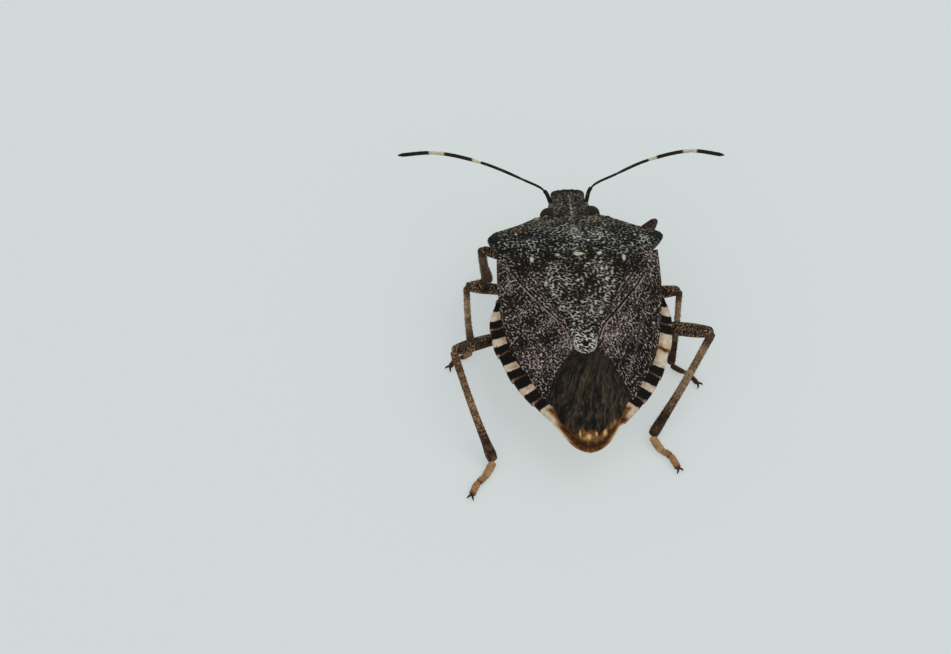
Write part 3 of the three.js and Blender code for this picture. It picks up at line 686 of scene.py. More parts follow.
finishPiece(makeForewing(1, "forewing_left_leather", 60), wingMaterial, "wing", "forewing_left")
finishPiece(makeForewing(-1, "forewing_right_leather", 80), wingMaterial, "wing", "forewing_right")
print("forewings done")


# Membranes: the right one lies on top of the left one
filmPlan = {
    "columns": 230, "underColumns": 24, "rows": 150, "thickness": 0.05,
    "rounding": 0.04, "frontRounding": 0.04, "rearRounding": 0.04, "veins": 11, "veinHeight": 0.02,
    "rootAt": 0.16,
    "fan": [(0, 0), (0.28, 0.12), (0.4, 0.18), (0.5, 0.27), (0.6, 0.41), (0.7, 0.51), (0.85, 0.68), (1, 1)],
    "darkEnd": [(-1.7, 8.0), (-1.35, 8.2), (-0.97, 8.48), (-0.75, 8.62), (-0.48, 8.86), (-0.29, 8.72),
                (0.1, 8.8), (0.4, 8.66), (0.7, 8.94), (0.95, 8.66), (1.23, 8.35), (1.56, 8.11), (1.8, 7.9)],
    "spots": [(0.08, 9.07, 0.19, 0.17), (-0.73, 8.85, 0.1, 0.16), (-0.32, 8.88, 0.06, 0.1),
              (0.47, 8.86, 0.06, 0.18)],
    "embers": [(1.0, 8.5, 0.2, 0.16), (-1.3, 8.3, 0.1, 0.3), (0.75, 8.95, 0.15, 0.12),
               (-0.5, 9.1, 0.15, 0.12)],
}


def makeMembrane(name, start, root, far, lift, fanned, seed):
    plan = filmPlan
    startPath = curve(start)
    rootPath = curve(root)
    farPath = curve(far)
    rootAt = plan["rootAt"]
    fan = profile(plan["fan"])
    darkEnd = profile(plan["darkEnd"])

    def outline(across, v):
        base = fan(across) if fanned else across
        near = startPath(base)
        middle = rootPath(base)
        end = farPath(across)
        first = np.clip(v / rootAt, 0, 1)[:, None]
        second = np.clip((v - rootAt) / (1 - rootAt), 0, 1)[:, None]
        places = np.where((v < rootAt)[:, None], near * (1 - first) + middle * first,
                          middle * (1 - second) + end * second)
        return places[:, 0], places[:, 1]

    def veinMask(across, v):
        # Veins run from the root vein to the edge, and some fork on their way
        wave = 0.3 * (cloud(across * 6, v * 2, 1.0, seed + 2) - 0.5)
        at = across * plan["veins"] + wave
        away = np.abs(at - np.round(at)) / plan["veins"]
        forkAt = np.abs(at - np.floor(at) - 0.5) / plan["veins"]
        hasFork = chance(np.floor(at), np.floor(at) * 0, seed + 5) > 0.3
        width = 0.9 + 2.3 * v
        vein = bell(away * width, 0.02)
        fork = bell(forkAt * width, 0.018) * smooth(0.35, 0.5, v) * hasFork
        vein = np.maximum(vein, fork) * smooth(rootAt - 0.02, rootAt + 0.02, v)
        rootVein = bell(v - rootAt, 0.011)
        return vein, rootVein

    def height(x, y, across, v, sideGap):
        vein, rootVein = veinMask(across, v)
        ripple = 0.035 * (cloud(across * 9, v * 1.6, 1.0, seed) - 0.5)
        return back(x, y) + lift + plan["veinHeight"] * np.maximum(vein, rootVein) + ripple

    def paint(x, y, across, v, sideGap):
        vein, rootVein = veinMask(across, v)
        ragged = cloud(across * 22, v, 1.0, seed + 4) - 0.5
        edge = darkEnd(x) + 0.22 * ragged
        amber = smooth(edge - 0.08, edge + 0.08, y)
        # Streaks along the film: partly its own fibrous grain, partly painted sheen that stands for its satin
        # reflection
        bend = 0.5 * (cloud(across * 4, v * 3, 1.0, seed + 9) - 0.5)
        streak = cloud(across * 30 + bend * 5, v * 4.5, 1.0, seed + 6)
        wisp = cloud(across * 60 + bend * 9, v * 18, 1.0, seed + 7)
        patch = cloud(x, y, 0.7, seed + 1) - 0.5
        bundle = cloud(across * 13 + bend * 3, v * 2.6, 1.0, seed + 8)
        flake = 0.28 + 0.75 * (streak - 0.5) + 1.2 * (wisp - 0.5) + 0.35 * patch + 0.6 * (bundle - 0.5)
        flake = np.minimum(flake, 0.34 + 0.5 * (flake - 0.34)) - 0.12 * smooth(0.45, 0.25, streak)
        flake = flake - 0.06 * vein + 0.13 * rootVein
        # The cell before the root vein is darker, and so is the film under the shield's tip
        cell = smooth(rootAt + 0.02, rootAt - 0.02, v)
        shade = blob(x, y, 0.1, 5.35, 0.7, 0.4) + 0.8 * blob(x, y, -1.9, 6.9, 0.3, 0.35)
        flake = flake * (1 - 0.15 * cell) - 0.02 * cell - 0.14 * shade
        spots = blobs(x, y, plan["spots"])
        embers = blobs(x, y, plan["embers"])
        # Painted shade: a thin dark band along the film's rear edge stands for the shadow that edge casts
        rear = smooth(0.2, 0.05, (1 - v) * 4) * smooth(8.2, 8.7, y)
        mottled = 0.4 * (cloud(x, y, 0.14, seed + 3) - 0.5)
        flake = flake * (1 - 0.5 * amber) + amber * (0.17 + mottled + 0.75 * spots + 0.26 * embers)
        flake = flake * (1 - 0.45 * rear * (1 - spots))
        warm = 0.04 + amber * 0.9 + 0.14 * blob(x, y, -0.2, 7.2, 0.9, 1.2)
        return 0 * x, painted(flake, warm)

    return rollPlate(name, plan, outline, height, paint)


rightFilm = makeMembrane(
    "membrane_right_film",
    [(0.5, 4.95), (0.1, 4.85), (-0.3, 4.85), (-0.7, 4.9), (-1.2, 5.45), (-1.7, 6.1), (-2.15, 6.85)],
    [(0.52, 5.05), (0.05, 5.35), (-0.18, 5.63), (-0.4, 5.85), (-0.66, 6.07), (-0.93, 6.19), (-1.41, 6.2),
     (-2.2, 7.0)],
    [(0.72, 5.2), (1.1, 5.8), (1.5, 6.6), (1.6, 7.4), (1.45, 8.05), (1.15, 8.5), (0.8, 8.95), (0.36, 9.33),
     (0.0, 9.44), (-0.35, 9.37), (-0.68, 9.2), (-0.96, 8.86), (-1.24, 8.5), (-1.5, 8.15), (-1.78, 7.6),
     (-2.12, 7.1)],
    0.0, True, 100)
leftFilm = makeMembrane(
    "membrane_left_film",
    [(0.2, 5.2), (0.5, 4.9), (0.8, 4.9), (1.1, 5.15), (1.4, 5.5)],
    [(0.2, 5.6), (0.6, 5.4), (0.9, 5.4), (1.2, 5.6), (1.5, 5.9)],
    [(0.3, 7.6), (0.7, 8.25), (1.1, 8.4), (1.36, 8.15), (1.5, 7.8), (1.72, 7.45), (1.96, 7.2), (2.2, 6.9)],
    -0.05, False, 120)
finishPiece(rightFilm, membraneMaterial, "membrane", "membrane_right")
finishPiece(leftFilm, membraneMaterial, "membrane", "membrane_left")
print("membranes done")


# Abdomen with its banded edge: for each seam its place, the dark band before it, and the one after it
abdomenPlan = {
    "columns": 230, "rows": 300, "start": 1.7, "tip": 9.71, "rimThickness": 0.26, "bed": 0.28,
    "seams": [(1.95, 0.1, 0.4), (3.16, 0.38, 0.48), (4.45, 0.42, 0.55), (5.82, 0.46, 0.5),
              (7.1, 0.46, 0.36)],
    "lastSeam": 8.25, "unbandedSeam": 2, "stripEnds": (0.56, 0.64, 0.88), "tipRound": 0.62,
    "keel": [(1.6, 1.42), (2.05, 1.38), (3.2, 1.2), (5, 1.2), (7, 1.4), (9, 1.74), (9.73, 2.05)],
}
keelHeight = profile(abdomenPlan["keel"])


def makeAbdomen():
    plan = abdomenPlan
    seamPlaces = np.array([seam[0] for seam in plan["seams"]] + [plan["lastSeam"]])
    # Where belly, lip and shelf end on the way from the keel round to the middle of the bed
    bellyEnd, lipEnd, shelfEnd = plan["stripEnds"]

    def shape(u, v):
        y = plan["start"] + (plan["tip"] - plan["start"]) * (1 - (1 - v) ** 1.5)
        side = np.where(u <= 0.5, 1, -1)
        t = np.where(u <= 0.5, u * 2, (1 - u) * 2)
        seamGap = np.min(np.abs(y[:, None] - seamPlaces[None, :]), axis=1)
        afterSeam = y[:, None] - seamPlaces[None, :]
        sinceSeam = np.min(np.where(afterSeam < 0, 9, afterSeam), axis=1)
        taper = roundEdge(plan["tip"] - y, plan["tipRound"])
        half = abdomenHalf(y) * taper
        half = half + 0.05 * (smooth(0.0, 1.2, sinceSeam) - 0.5) * smooth(9.2, 8.6, y)
        half = half - np.where(side > 0, leftTrim(y), 0.07 * bell(y - 8.45, 0.2))
        inner = np.maximum(0.25 * half, np.minimum(half - 0.12, wingEdge(y) - 0.25))
        edge = back(half, y)
        thick = plan["rimThickness"] * (1 - 0.7 * smooth(7.6, 8.5, y)) * smooth(9.8, 9.4, y) + 0.02
        keel = (edge - thick) * (1 - taper) + keelHeight(y) * taper
        bellyT = np.clip(t / bellyEnd, 0, 1)
        bellyX = half * np.sin(bellyT * np.pi / 2) ** 0.9
        bellyZ = keel + (edge - thick - keel) * (bellyX / np.maximum(half, 1e-6)) ** 1.5
        lip = np.clip((t - bellyEnd) / (lipEnd - bellyEnd), 0, 1)
        lipZ = edge - thick + thick * (1 - np.cos(lip * np.pi)) / 2
        lipX = half + 0.04 * np.sin(lip * np.pi) * smooth(0.0, 0.3, half)
        shelf = np.clip((t - lipEnd) / (shelfEnd - lipEnd), 0, 1)
        shelfX = half + (inner - half) * shelf
        shelfZ = back(shelfX, y) - 0.08 * smooth(0.0, 0.25, shelf)
        bed = np.clip((t - shelfEnd) / (1 - shelfEnd), 0, 1)
        bedX = inner * (1 - bed)
        bedZ = back(bedX, y) - 0.08 - plan["bed"] * smooth(0.0, 0.3, bed) * smooth(9.05, 8.6, y)
        strips = [t < bellyEnd, t < lipEnd, t < shelfEnd]
        x = np.select(strips, [bellyX, lipX, shelfX], bedX)
        z = np.select(strips, [bellyZ, lipZ, shelfZ], bedZ)
        groove = bell(seamGap, 0.03)
        onRim = (t > 0.5) & (t < 0.885)
        z = z + np.where(onRim, -0.04 * groove, 0.05 * groove)
        z = z + np.where(t < bellyEnd, -0.04 * smooth(0, 0.5, sinceSeam) * smooth(0, 0.1, bellyT), 0)
        # The bands run nearly square to the edge
        lean = 0.38 * (abdomenHalf(y + 0.05) - abdomenHalf(y - 0.05)) / 0.1
        along = y - lean * (half - x)
        ragged = 0.06 * (cloud(x, y, 0.12, 7) - 0.5)
        band = np.zeros_like(y)
        pink = np.zeros_like(y)
        orange = np.zeros_like(y)
        inward = half - x
        for number, (place, before, after) in enumerate(plan["seams"]):
            away = along - place
            own = smooth(-before - 0.025, -before + 0.025, away + ragged)
            own = own * smooth(after + 0.025, after - 0.025, away + ragged)
            line = bell(away + 0.8 * ragged + 0.1 * (cloud(x, y, 0.25, 9) - 0.5), 0.056)
            if number == plan["unbandedSeam"]:
                # On the right this seam has a small orange mark and no dark pair
                mark = bell(away + 2 * ragged, 0.09) * smooth(0.45, 0.3, np.abs(inward - 0.2))
                orange = np.where(side < 0, np.maximum(orange, mark), orange)
                own = np.where(side < 0, 0, own)
                line = np.where(side < 0, 0, line)
            band = np.maximum(band, own)
            pink = np.maximum(pink, line)
        # Past the last pair only a small brown spot lies beside the wing
        leftSpot = blob(along, inward, 8.24, 0.42, 0.16, 0.2)
        rightSpot = blob(along, inward, 8.18, 0.2, 0.17, 0.3)
        lastSpot = np.where(side > 0, leftSpot, rightSpot)
        ember = smooth(0.14, 0.4, inward) * smooth(7.4, 7.6, y) * smooth(8.1, 7.9, y)
        tail = smooth(8.15, 8.45, y)
        fine = cloud(x, y, 0.12, 18)
        cream = 0.79 + 0.2 * (cloud(x, y, 0.3, 17) - 0.5) + 0.4 * (fine - 0.5)
        innerTan = smooth(0.4, 0.8, inward / np.maximum(half - wingEdge(y) + 0.1, 0.1))
        flake = cream - 0.14 * innerTan - 0.4 * ember
        paleLine = np.exp(-np.maximum(inward, 0) / 0.07) * smooth(9.35, 8.8, y)
        rimGap = np.minimum(inward, plan["tip"] - y)
        inTail = 0.14 + 0.3 * bell(rimGap, 0.13) + 0.4 * paleLine + 0.3 * (fine - 0.5)
        flake = flake * (1 - tail) + inTail * tail
        pinkTone = (0.26 + 0.3 * np.exp(-inward / 0.16)) * (0.6 + 0.8 * fine) * smooth(1.0, 0.7, inward)
        flake = flake * (1 - band) + 0.03 * fine * band + pinkTone * pink * band
        flake = flake * (1 - 0.85 * lastSpot) - 0.62 * orange
        specks = smooth(0.34, 0.22, pits(x / 0.17 + 0.2 * cloud(x, y, 0.5, 1), y / 0.17, 23))
        speckled = 0.8 - 0.45 * specks * cloud(x, y, 0.6, 27)
        venterBand = band * smooth(0.72, 0.98, x / np.maximum(half, 1e-6))
        isBelly = t < 0.57
        flake = np.where(isBelly, speckled * (1 - 0.9 * venterBand), flake)
        warm = 0.06 + (0.9 - 0.5 * paleLine) * tail + 0.3 * pink * band + orange + ember + 0.6 * lastSpot
        warm = warm + 0.3 * innerTan * (1 - band)
        warm = np.where(isBelly, 0.12, warm)
        # The front end closes on a point inside the body
        close = smooth(0, 0.012, v)
        x = x * close
        z = z * close + (edge - 0.6) * (1 - close)
        return np.stack([side * x, y, z], -1), painted(flake, warm)

    return rollSkin("abdomen_shell", plan["columns"], plan["rows"], shape)


finishPiece(makeAbdomen(), bellyMaterial, "belly", "abdomen")
print("abdomen done")


# Chest below the plates, in three rings
chestPlan = {
    "columns": 200, "rows": 150, "start": -2.72, "end": 2.15, "keel": 1.42, "ringEnds": (-0.95, 0.62),
    "half": [(-2.72, 1.7), (-2.4, 2.4), (-1.7, 3.4), (-1.2, 3.72), (-0.6, 3.66), (0.6, 3.8), (2.15, 3.95)],
}


def makeChest():
    plan = chestPlan
    halfWidth = profile(plan["half"])

    def shape(u, v):
        y = plan["start"] + (plan["end"] - plan["start"]) * v
        side = np.where(u <= 0.5, 1, -1)
        t = np.where(u <= 0.5, u * 2, (1 - u) * 2)
        half = halfWidth(y)
        edge = back(half, y) - 0.22
        under = np.clip(t / 0.7, 0, 1)
        x = np.where(t < 0.7, half * np.sin(under * np.pi / 2) ** 0.92, half * (1 - (t - 0.7) / 0.3))
        keel = plan["keel"] + 0.25 * smooth(-2.1, -2.72, y)
        z = np.where(t < 0.7, keel + (edge - keel) * (x / half) ** 1.55, back(x, y) - 0.24)
        isUnder = (t < 0.66).astype(float)
        cut = np.zeros_like(y)
        for place in plan["ringEnds"]:
            cut = np.maximum(cut, bell(y - place - 0.1 * np.cos(x * 0.9), 0.035))
        sockets = np.zeros_like(y)
        for legName in legNames:
            hip = legPlan[legName]["hip"]
            sockets = np.maximum(sockets, blob(side * x, y, hip[0] * 0.86, hip[1] - 0.1, 0.42, 0.34))
        trough = bell(x, 0.34)
        glands = blob(x, y, 2.35, 1.0, 0.3, 0.07)
        z = z + isUnder * (0.07 * cut + 0.22 * sockets + 0.1 * trough + 0.05 * glands)
        distance = pits(x / 0.2 + 0.3 * cloud(x, y, 0.4, 2), y / 0.17, 37)
        specks = smooth(0.46, 0.26, distance) * smooth(0.25, 0.6, cloud(x, y, 0.8, 39))
        z = z + isUnder * 0.02 * specks
        outer = smooth(0.55, 0.95, x / half)
        flake = 0.76 - 0.46 * specks - 0.4 * cut - 0.3 * sockets - 0.25 * trough
        flake = flake - 0.25 * outer * cloud(x, y, 0.35, 43)
        close = smooth(0, 0.015, v) * smooth(1, 0.985, v)
        x = x * close
        z = z * close + (edge - 0.5) * (1 - close)
        return np.stack([side * x, y, z], -1), painted(flake, 0.2)

    return rollSkin("thorax_shell", plan["columns"], plan["rows"], shape)


# Legs: places of hip, knee, ankle and toe, with the bends of the foot
legPlan = {
    "front_left": {"hip": (1.35, -1.62, 1.1), "knee": (4.47, -1.6, 3.1), "ankle": (4.08, -1.5, 0.34),
                   "foot": [(4.5, -1.52), (4.95, -1.42)], "thigh": 0.27, "shin": (0.22, 0.21, 0.26),
                   "footSize": 0.85, "shinTone": 0.44},
    "front_right": {"hip": (-1.35, -1.62, 1.1), "knee": (-4.16, -3.05, 3.1), "ankle": (-3.5, -2.75, 0.34),
                    "foot": [(-3.6, -3.15), (-3.75, -3.6)], "thigh": 0.2, "shin": (0.15, 0.15, 0.22),
                    "footSize": 0.85, "shinTone": 0.26},
    "middle_left": {"hip": (1.55, -0.04, 1.15), "knee": (5.4, 0.66, 3.33), "ankle": (5.16, 2.62, 0.34),
                    "foot": [(5.55, 2.78), (5.95, 2.92), (6.3, 3.34)], "thigh": 0.29,
                    "shin": (0.16, 0.15, 0.2),
                    "footSize": 0.68, "shinTone": 0.62},
    "middle_right": {"hip": (-1.55, 0.22, 1.05), "knee": (-5.0, 0.95, 2.9), "ankle": (-4.62, 3.7, 0.34),
                     "foot": [(-5.05, 3.93), (-5.48, 4.2), (-5.9, 4.72)], "thigh": 0.31,
                     "shin": (0.16, 0.15, 0.21), "footSize": 0.68, "shinTone": 0.6},
    "hind_left": {"hip": (1.8, 1.95, 1.0), "knee": (6.27, 4.1, 3.0), "ankle": (4.54, 8.89, 0.34),
                  "foot": [(4.97, 9.6), (5.42, 10.06), (5.72, 10.66)], "thigh": 0.33,
                  "shin": (0.19, 0.165, 0.265),
                  "footSize": 1.0, "shinTone": 0.32},
    "hind_right": {"hip": (-1.8, 1.9, 1.05), "knee": (-6.4, 3.5, 3.02), "ankle": (-3.32, 7.74, 0.34),
                   "foot": [(-3.74, 8.46), (-4.14, 8.78), (-4.5, 9.52)], "thigh": 0.355,
                   "shin": (0.2, 0.19, 0.27),
                   "footSize": 1.0, "shinTone": 0.58},
}
legNames = list(legPlan)
# What all legs share: thickness along each part, and how many hairs stand between which shares of it
legForm = {
    "root": (-0.5, -0.24, 0.28), "coxaGirth": 0.3, "hairLength": 0.11, "toeHeight": 0.14, "soleHeight": 0.2,
    "shinHairs": (420, 0.05, 0.97), "footHairs": (160, 0.06, 0.95),
    "coxa": [(0, 0.26), (0.35, 0.36), (0.62, 0.24), (0.82, 0.27), (1, 0.22)],
    "foot": [(0, 0.17), (0.08, 0.2), (0.36, 0.19), (0.43, 0.15), (0.5, 0.17), (0.58, 0.17), (0.63, 0.145),
             (0.72, 0.17), (0.9, 0.17), (1, 0.13)],
    "claw": [(0, 0.06), (0.5, 0.05), (1, 0.012)],
}


def limbSkin(points, radius, section, facing):
    # Places on the skin round a path, with the ways outward and ahead there
    path = curve(points)
    fine = path(np.linspace(0, 1, 200))
    length = np.linalg.norm(np.diff(fine, axis=0), axis=1).sum()

    def place(t, angle, ends):
        ahead = path(t + 0.01) - path(t - 0.01)
        ahead = ahead / np.linalg.norm(ahead, axis=1)[:, None]
        upward = np.array(facing, float) - ahead * (ahead @ np.array(facing, float))[:, None]
        upward = upward / np.linalg.norm(upward, axis=1)[:, None]
        wide, tall = section(angle, t)
        outward = np.cross(ahead, upward) * (np.cos(angle) * wide)[:, None]
        outward = outward + upward * (np.sin(angle) * tall)[:, None]
        places = path(t) + outward * (radius(t) * ends)[:, None]
        places[:, 2] = np.maximum(places[:, 2], 0.0)
        return places, outward, ahead

    return place, length


def rollLimb(name, size, points, radius, section, paint, facing=(0, 0, 1)):
    # A skin round a path: section(angle, t) squeezes its outline, and both ends are rounded off
    place, length = limbSkin(points, radius, section, facing)
    columns, rows, endRound = size

    def shape(u, v):
        t = 0.55 * v + 0.45 * (0.5 - 0.5 * np.cos(np.pi * v))
        angle = 2 * np.pi * u
        ends = roundEdge(t * length, endRound) * roundEdge((1 - t) * length, endRound)
        flake, warm = paint(t, angle, t * length)
        return place(t, angle, ends)[0], painted(flake, warm)

    return rollSkin(name, columns, rows, shape)


bristlePlan = {"lean": 0.75, "sunk": 0.02, "radius": 0.008, "cornerTurns": (0.5, 2.6, 4.7), "lowestTip": 0.01}


def addBristles(name, skins, size, material, slotName, seed):
    # Short stiff hairs, three-sided and sunk a little into the skin. Each skin comes with how many it wears
    # and with the shares of its length between which they stand.
    plan = bristlePlan
    corners = []
    for number, (skin, count, low, high) in enumerate(skins):
        place = skin[0]
        index = np.arange(count)
        t = low + (high - low) * (index + chance(index, index * 0, seed + number)) / count
        angle = 2 * np.pi * chance(index, index * 0 + 1, seed + number)
        roots, outward, ahead = place(t, angle, 1.0)
        outward = outward / np.linalg.norm(outward, axis=1)[:, None]
        lean = outward + plan["lean"] * ahead
        lean = lean / np.linalg.norm(lean, axis=1)[:, None]
        across = np.cross(outward, ahead)
        along = np.cross(across, lean)
        roots = roots - plan["sunk"] * outward
        reach = size * (0.7 + 0.6 * chance(index, index * 0 + 2, seed + number))
        ring = [roots + plan["radius"] * (across * math.cos(turn) + along * math.sin(turn))
                for turn in plan["cornerTurns"]]
        tips = roots + lean * reach[:, None]
        tips[:, 2] = np.maximum(tips[:, 2], plan["lowestTip"])
        corners.append(np.stack(ring + [tips], 1).reshape(-1, 3))
    places = toFrame(np.concatenate(corners))
    faces = []
    for a in range(0, len(places), 4):
        b, c, tip = a + 1, a + 2, a + 3
        faces += [(a, b, tip), (b, c, tip), (c, a, tip), (a, c, b)]
    mesh = bpy.data.meshes.new(name)
    mesh.from_pydata([tuple(place) for place in places], [], faces)
    addLayers(mesh, painted(0.3, 0.6))
    piece = bpy.data.objects.new(name, mesh)
    bpy.context.collection.objects.link(piece)
    onlySelect(piece)
    bpy.ops.object.mode_set(mode="EDIT")
    bpy.ops.mesh.select_all(action="SELECT")
    bpy.ops.mesh.normals_make_consistent(inside=False)
    bpy.ops.object.mode_set(mode="OBJECT")
    return finishPiece(piece, material, slotName)


def roundSection(angle, t):
    return np.ones_like(angle), np.ones_like(angle)


def boxSection(angle, t):
    # The shin is four-sided with a shallow trough along its outer face
    square = (np.abs(np.cos(angle)) ** 3.2 + np.abs(np.sin(angle)) ** 3.2) ** (-1 / 3.2)
    middle = smooth(0.04, 0.2, t) * smooth(1.0, 0.9, t)
    trough = 1 - 0.16 * middle * bell(np.mod(angle, 2 * np.pi) - np.pi / 2, 0.4)
    square = 1 + (square - 1) * middle
    return square * trough, square * trough


def limbSpecks(run, angle, girth, seed):
    # Small round specks in loose groups, and a soft uneven tone
    around = np.minimum(angle, 2 * np.pi - angle) * girth
    spread = pits(run / 0.12 + 0.4 * cloud(run, around, 0.3, seed), around / 0.1, seed + 1)
    group = smooth(0.3, 0.6, cloud(run, around, 0.45, seed + 3))
    return smooth(0.42, 0.22, spread), group, cloud(run, around, 0.25, seed + 2)


def makeLeg(legName, seed):
    plan = legPlan[legName]
    hip = np.array(plan["hip"], float)
    knee = np.array(plan["knee"], float)
    ankle = np.array(plan["ankle"], float)
    side = np.sign(hip[0])
    isHind = legName.startswith("hind")
    isPaleSpecked = legName == "hind_left"
    root = hip + np.array(legForm["root"]) * np.array([side, 1, 1])
    outward = (knee - hip) * np.array([1, 1, 0])
    outward = outward / np.linalg.norm(outward)

    def coxaPaint(t, angle, run):
        specks, _, tone = limbSpecks(run, angle, legForm["coxaGirth"], seed)
        return 0.55 + 0.4 * (tone - 0.5) - 0.4 * specks, 0.4

    def thighPaint(t, angle, run):
        # Dark above with pale specks, and paler below
        specks, group, tone = limbSpecks(run, angle, plan["thigh"], seed + 3)
        below = smooth(0.5, -0.6, np.sin(angle))
        belowShare = 0.08 if isHind else 0.2
        pale = 0.06 + belowShare * below + 0.2 * (tone - 0.5)
        return pale + (0.3 + 0.42 * group) * specks, 0.25 + 0.2 * below + 0.3 * group

    def shinPaint(t, angle, run):
        specks, group, tone = limbSpecks(run, angle, plan["shin"][1], seed + 6)
        ends = 0.8 * smooth(0.2, 0.02, t) + smooth(0.56, 0.8, t)
        ground = plan["shinTone"] * (1 - ends) + 0.12 * ends
        share = -0.4 if isPaleSpecked else 0.3 - 0.5 * smooth(0.5, 0.8, ends)
        specked = share * specks * (0.4 + 0.6 * group)
        return ground + 0.4 * (tone - 0.5) - specked, 0.65 - 0.15 * ends + 0.3 * isPaleSpecked

    def footPaint(t, angle, run):
        tone = cloud(run, angle * 0.15, 0.2, seed + 9)
        joints = bell(t - 0.43, 0.02) + bell(t - 0.62, 0.02)
        if isHind:
            pale = 0.66 - 0.14 * smooth(0.4, 0.6, t) - 0.3 * smooth(0.88, 1.0, t)
            return pale + 0.3 * (tone - 0.5) - 0.22 * joints, 0.8 + 0.2 * smooth(0.5, 0.7, t)
        ring = smooth(0.42, 0.46, t) * smooth(0.64, 0.6, t)
        ring = np.maximum(ring, smooth(0.4, 0.3, t) * (legName == "middle_left"))
        return 0.22 + 0.3 * ring + 0.2 * (tone - 0.5) - 0.1 * joints, 0.2 + 0.5 * ring

    coxaRadius = profile(legForm["coxa"])
    girth = plan["thigh"]
    thighRadius = profile([(0, 0.19), (0.08, 0.2), (0.3, 0.24), (0.6, girth * 0.94), (0.78, girth),
                           (0.92, girth * 0.86), (1, girth * 0.66)])
    topShin, thinShin, thickShin = plan["shin"]
    shinRadius = profile([(0, topShin * 0.9), (0.06, topShin), (0.25, thinShin), (0.62, thinShin * 1.08),
                          (0.82, thinShin * 1.28), (0.94, thickShin), (1, thickShin * 0.85)])
    coxa = rollLimb(f"leg_{legName}_coxa_joint", (28, 26, 0.2), [root, (root + hip) / 2, hip], coxaRadius,
                    roundSection, coxaPaint)
    bow = np.array([0, -0.1 if isHind else 0, 0.06])
    thighPath = [hip, (hip + knee) / 2 + bow, knee + outward * 0.1]
    thigh = rollLimb(f"leg_{legName}_thigh", (48, 200, 0.2), thighPath, thighRadius, roundSection, thighPaint)
    shinPath = [knee + outward * 0.07, (knee + ankle) / 2 + outward * 0.1, ankle]
    shin = rollLimb(f"leg_{legName}_shin", (48, 240, 0.12), shinPath, shinRadius, boxSection, shinPaint,
                    outward)
    toe = np.array([*plan["foot"][-1], legForm["toeHeight"]])
    steps = [np.array([*place, legForm["soleHeight"]]) for place in plan["foot"][:-1]]
    footRadius = profile([(at, plan["footSize"] * thick) for at, thick in legForm["foot"]])
    footPath = [ankle + np.array([0, 0, -0.02])] + steps + [toe]
    foot = rollLimb(f"leg_{legName}_foot", (28, 60, 0.1), footPath, footRadius, roundSection, footPaint)
    shinSkin = limbSkin(shinPath, shinRadius, boxSection, outward)
    footSkin = limbSkin(footPath, footRadius, roundSection, (0, 0, 1))
    hairy = [(shinSkin, *legForm["shinHairs"]), (footSkin, *legForm["footHairs"])]
    addBristles(f"leg_{legName}_bristles", hairy, legForm["hairLength"], limbMaterial, "limb", seed + 15)
    along = toe - steps[-1]
    along[2] = 0
    along = along / np.linalg.norm(along)
    across = np.array([-along[1], along[0], 0])
    clawRadius = profile(legForm["claw"])

    def clawPaint(t, angle, run):
        return 0.25 - 0.2 * t, 0.5

    for turn in (-1, 1):
        start = toe - along * 0.06 + np.array([0, 0, 0.04])
        bend = toe + along * 0.1 + across * turn * 0.1 + np.array([0, 0, 0.07])
        tip = toe + along * 0.16 + across * turn * 0.18 + np.array([0, 0, -0.1])
        clawName = f"leg_{legName}_claw_{1 if turn < 0 else 2}"
        claw = rollLimb(clawName, (12, 18, 0.02), [start, bend, tip], clawRadius, roundSection, clawPaint)
        finishPiece(claw, limbMaterial, "limb")
    finishPiece(coxa, limbMaterial, "limb", f"leg_{legName}_coxa")
    finishPiece(thigh, limbMaterial, "limb", f"leg_{legName}_femur")
    finishPiece(shin, limbMaterial, "limb", f"leg_{legName}_tibia")
    finishPiece(foot, footMaterial, "limb", f"leg_{legName}_tarsus")


for number, legName in enumerate(legNames):
    makeLeg(legName, 200 + 20 * number)
print("legs done")

finishPiece(makeChest(), bellyMaterial, "belly", "thorax")
print("chest done")


# Antennae: five joints each, with the pale rings that the fourth and fifth wear
feelerPlan = {
    "left": [(0.86, -4.42, 2.7), (1.18, -4.96, 3.1), (2.24, -5.43, 3.45), (4.3, -6.28, 3.8),
             (6.5, -6.85, 3.9), (8.4, -6.96, 3.62)],
    "right": [(-0.88, -4.42, 2.7), (-1.16, -5.08, 3.1), (-2.46, -5.63, 3.45), (-4.08, -6.18, 3.8),
              (-6.2, -6.59, 3.9), (-7.95, -6.47, 3.62)],
    "radii": [0.102, 0.062, 0.074, 0.09, 0.095], "overlap": 0.006, "hairs": (220, 0.05, 0.96),
    "hairLength": 0.06,
}


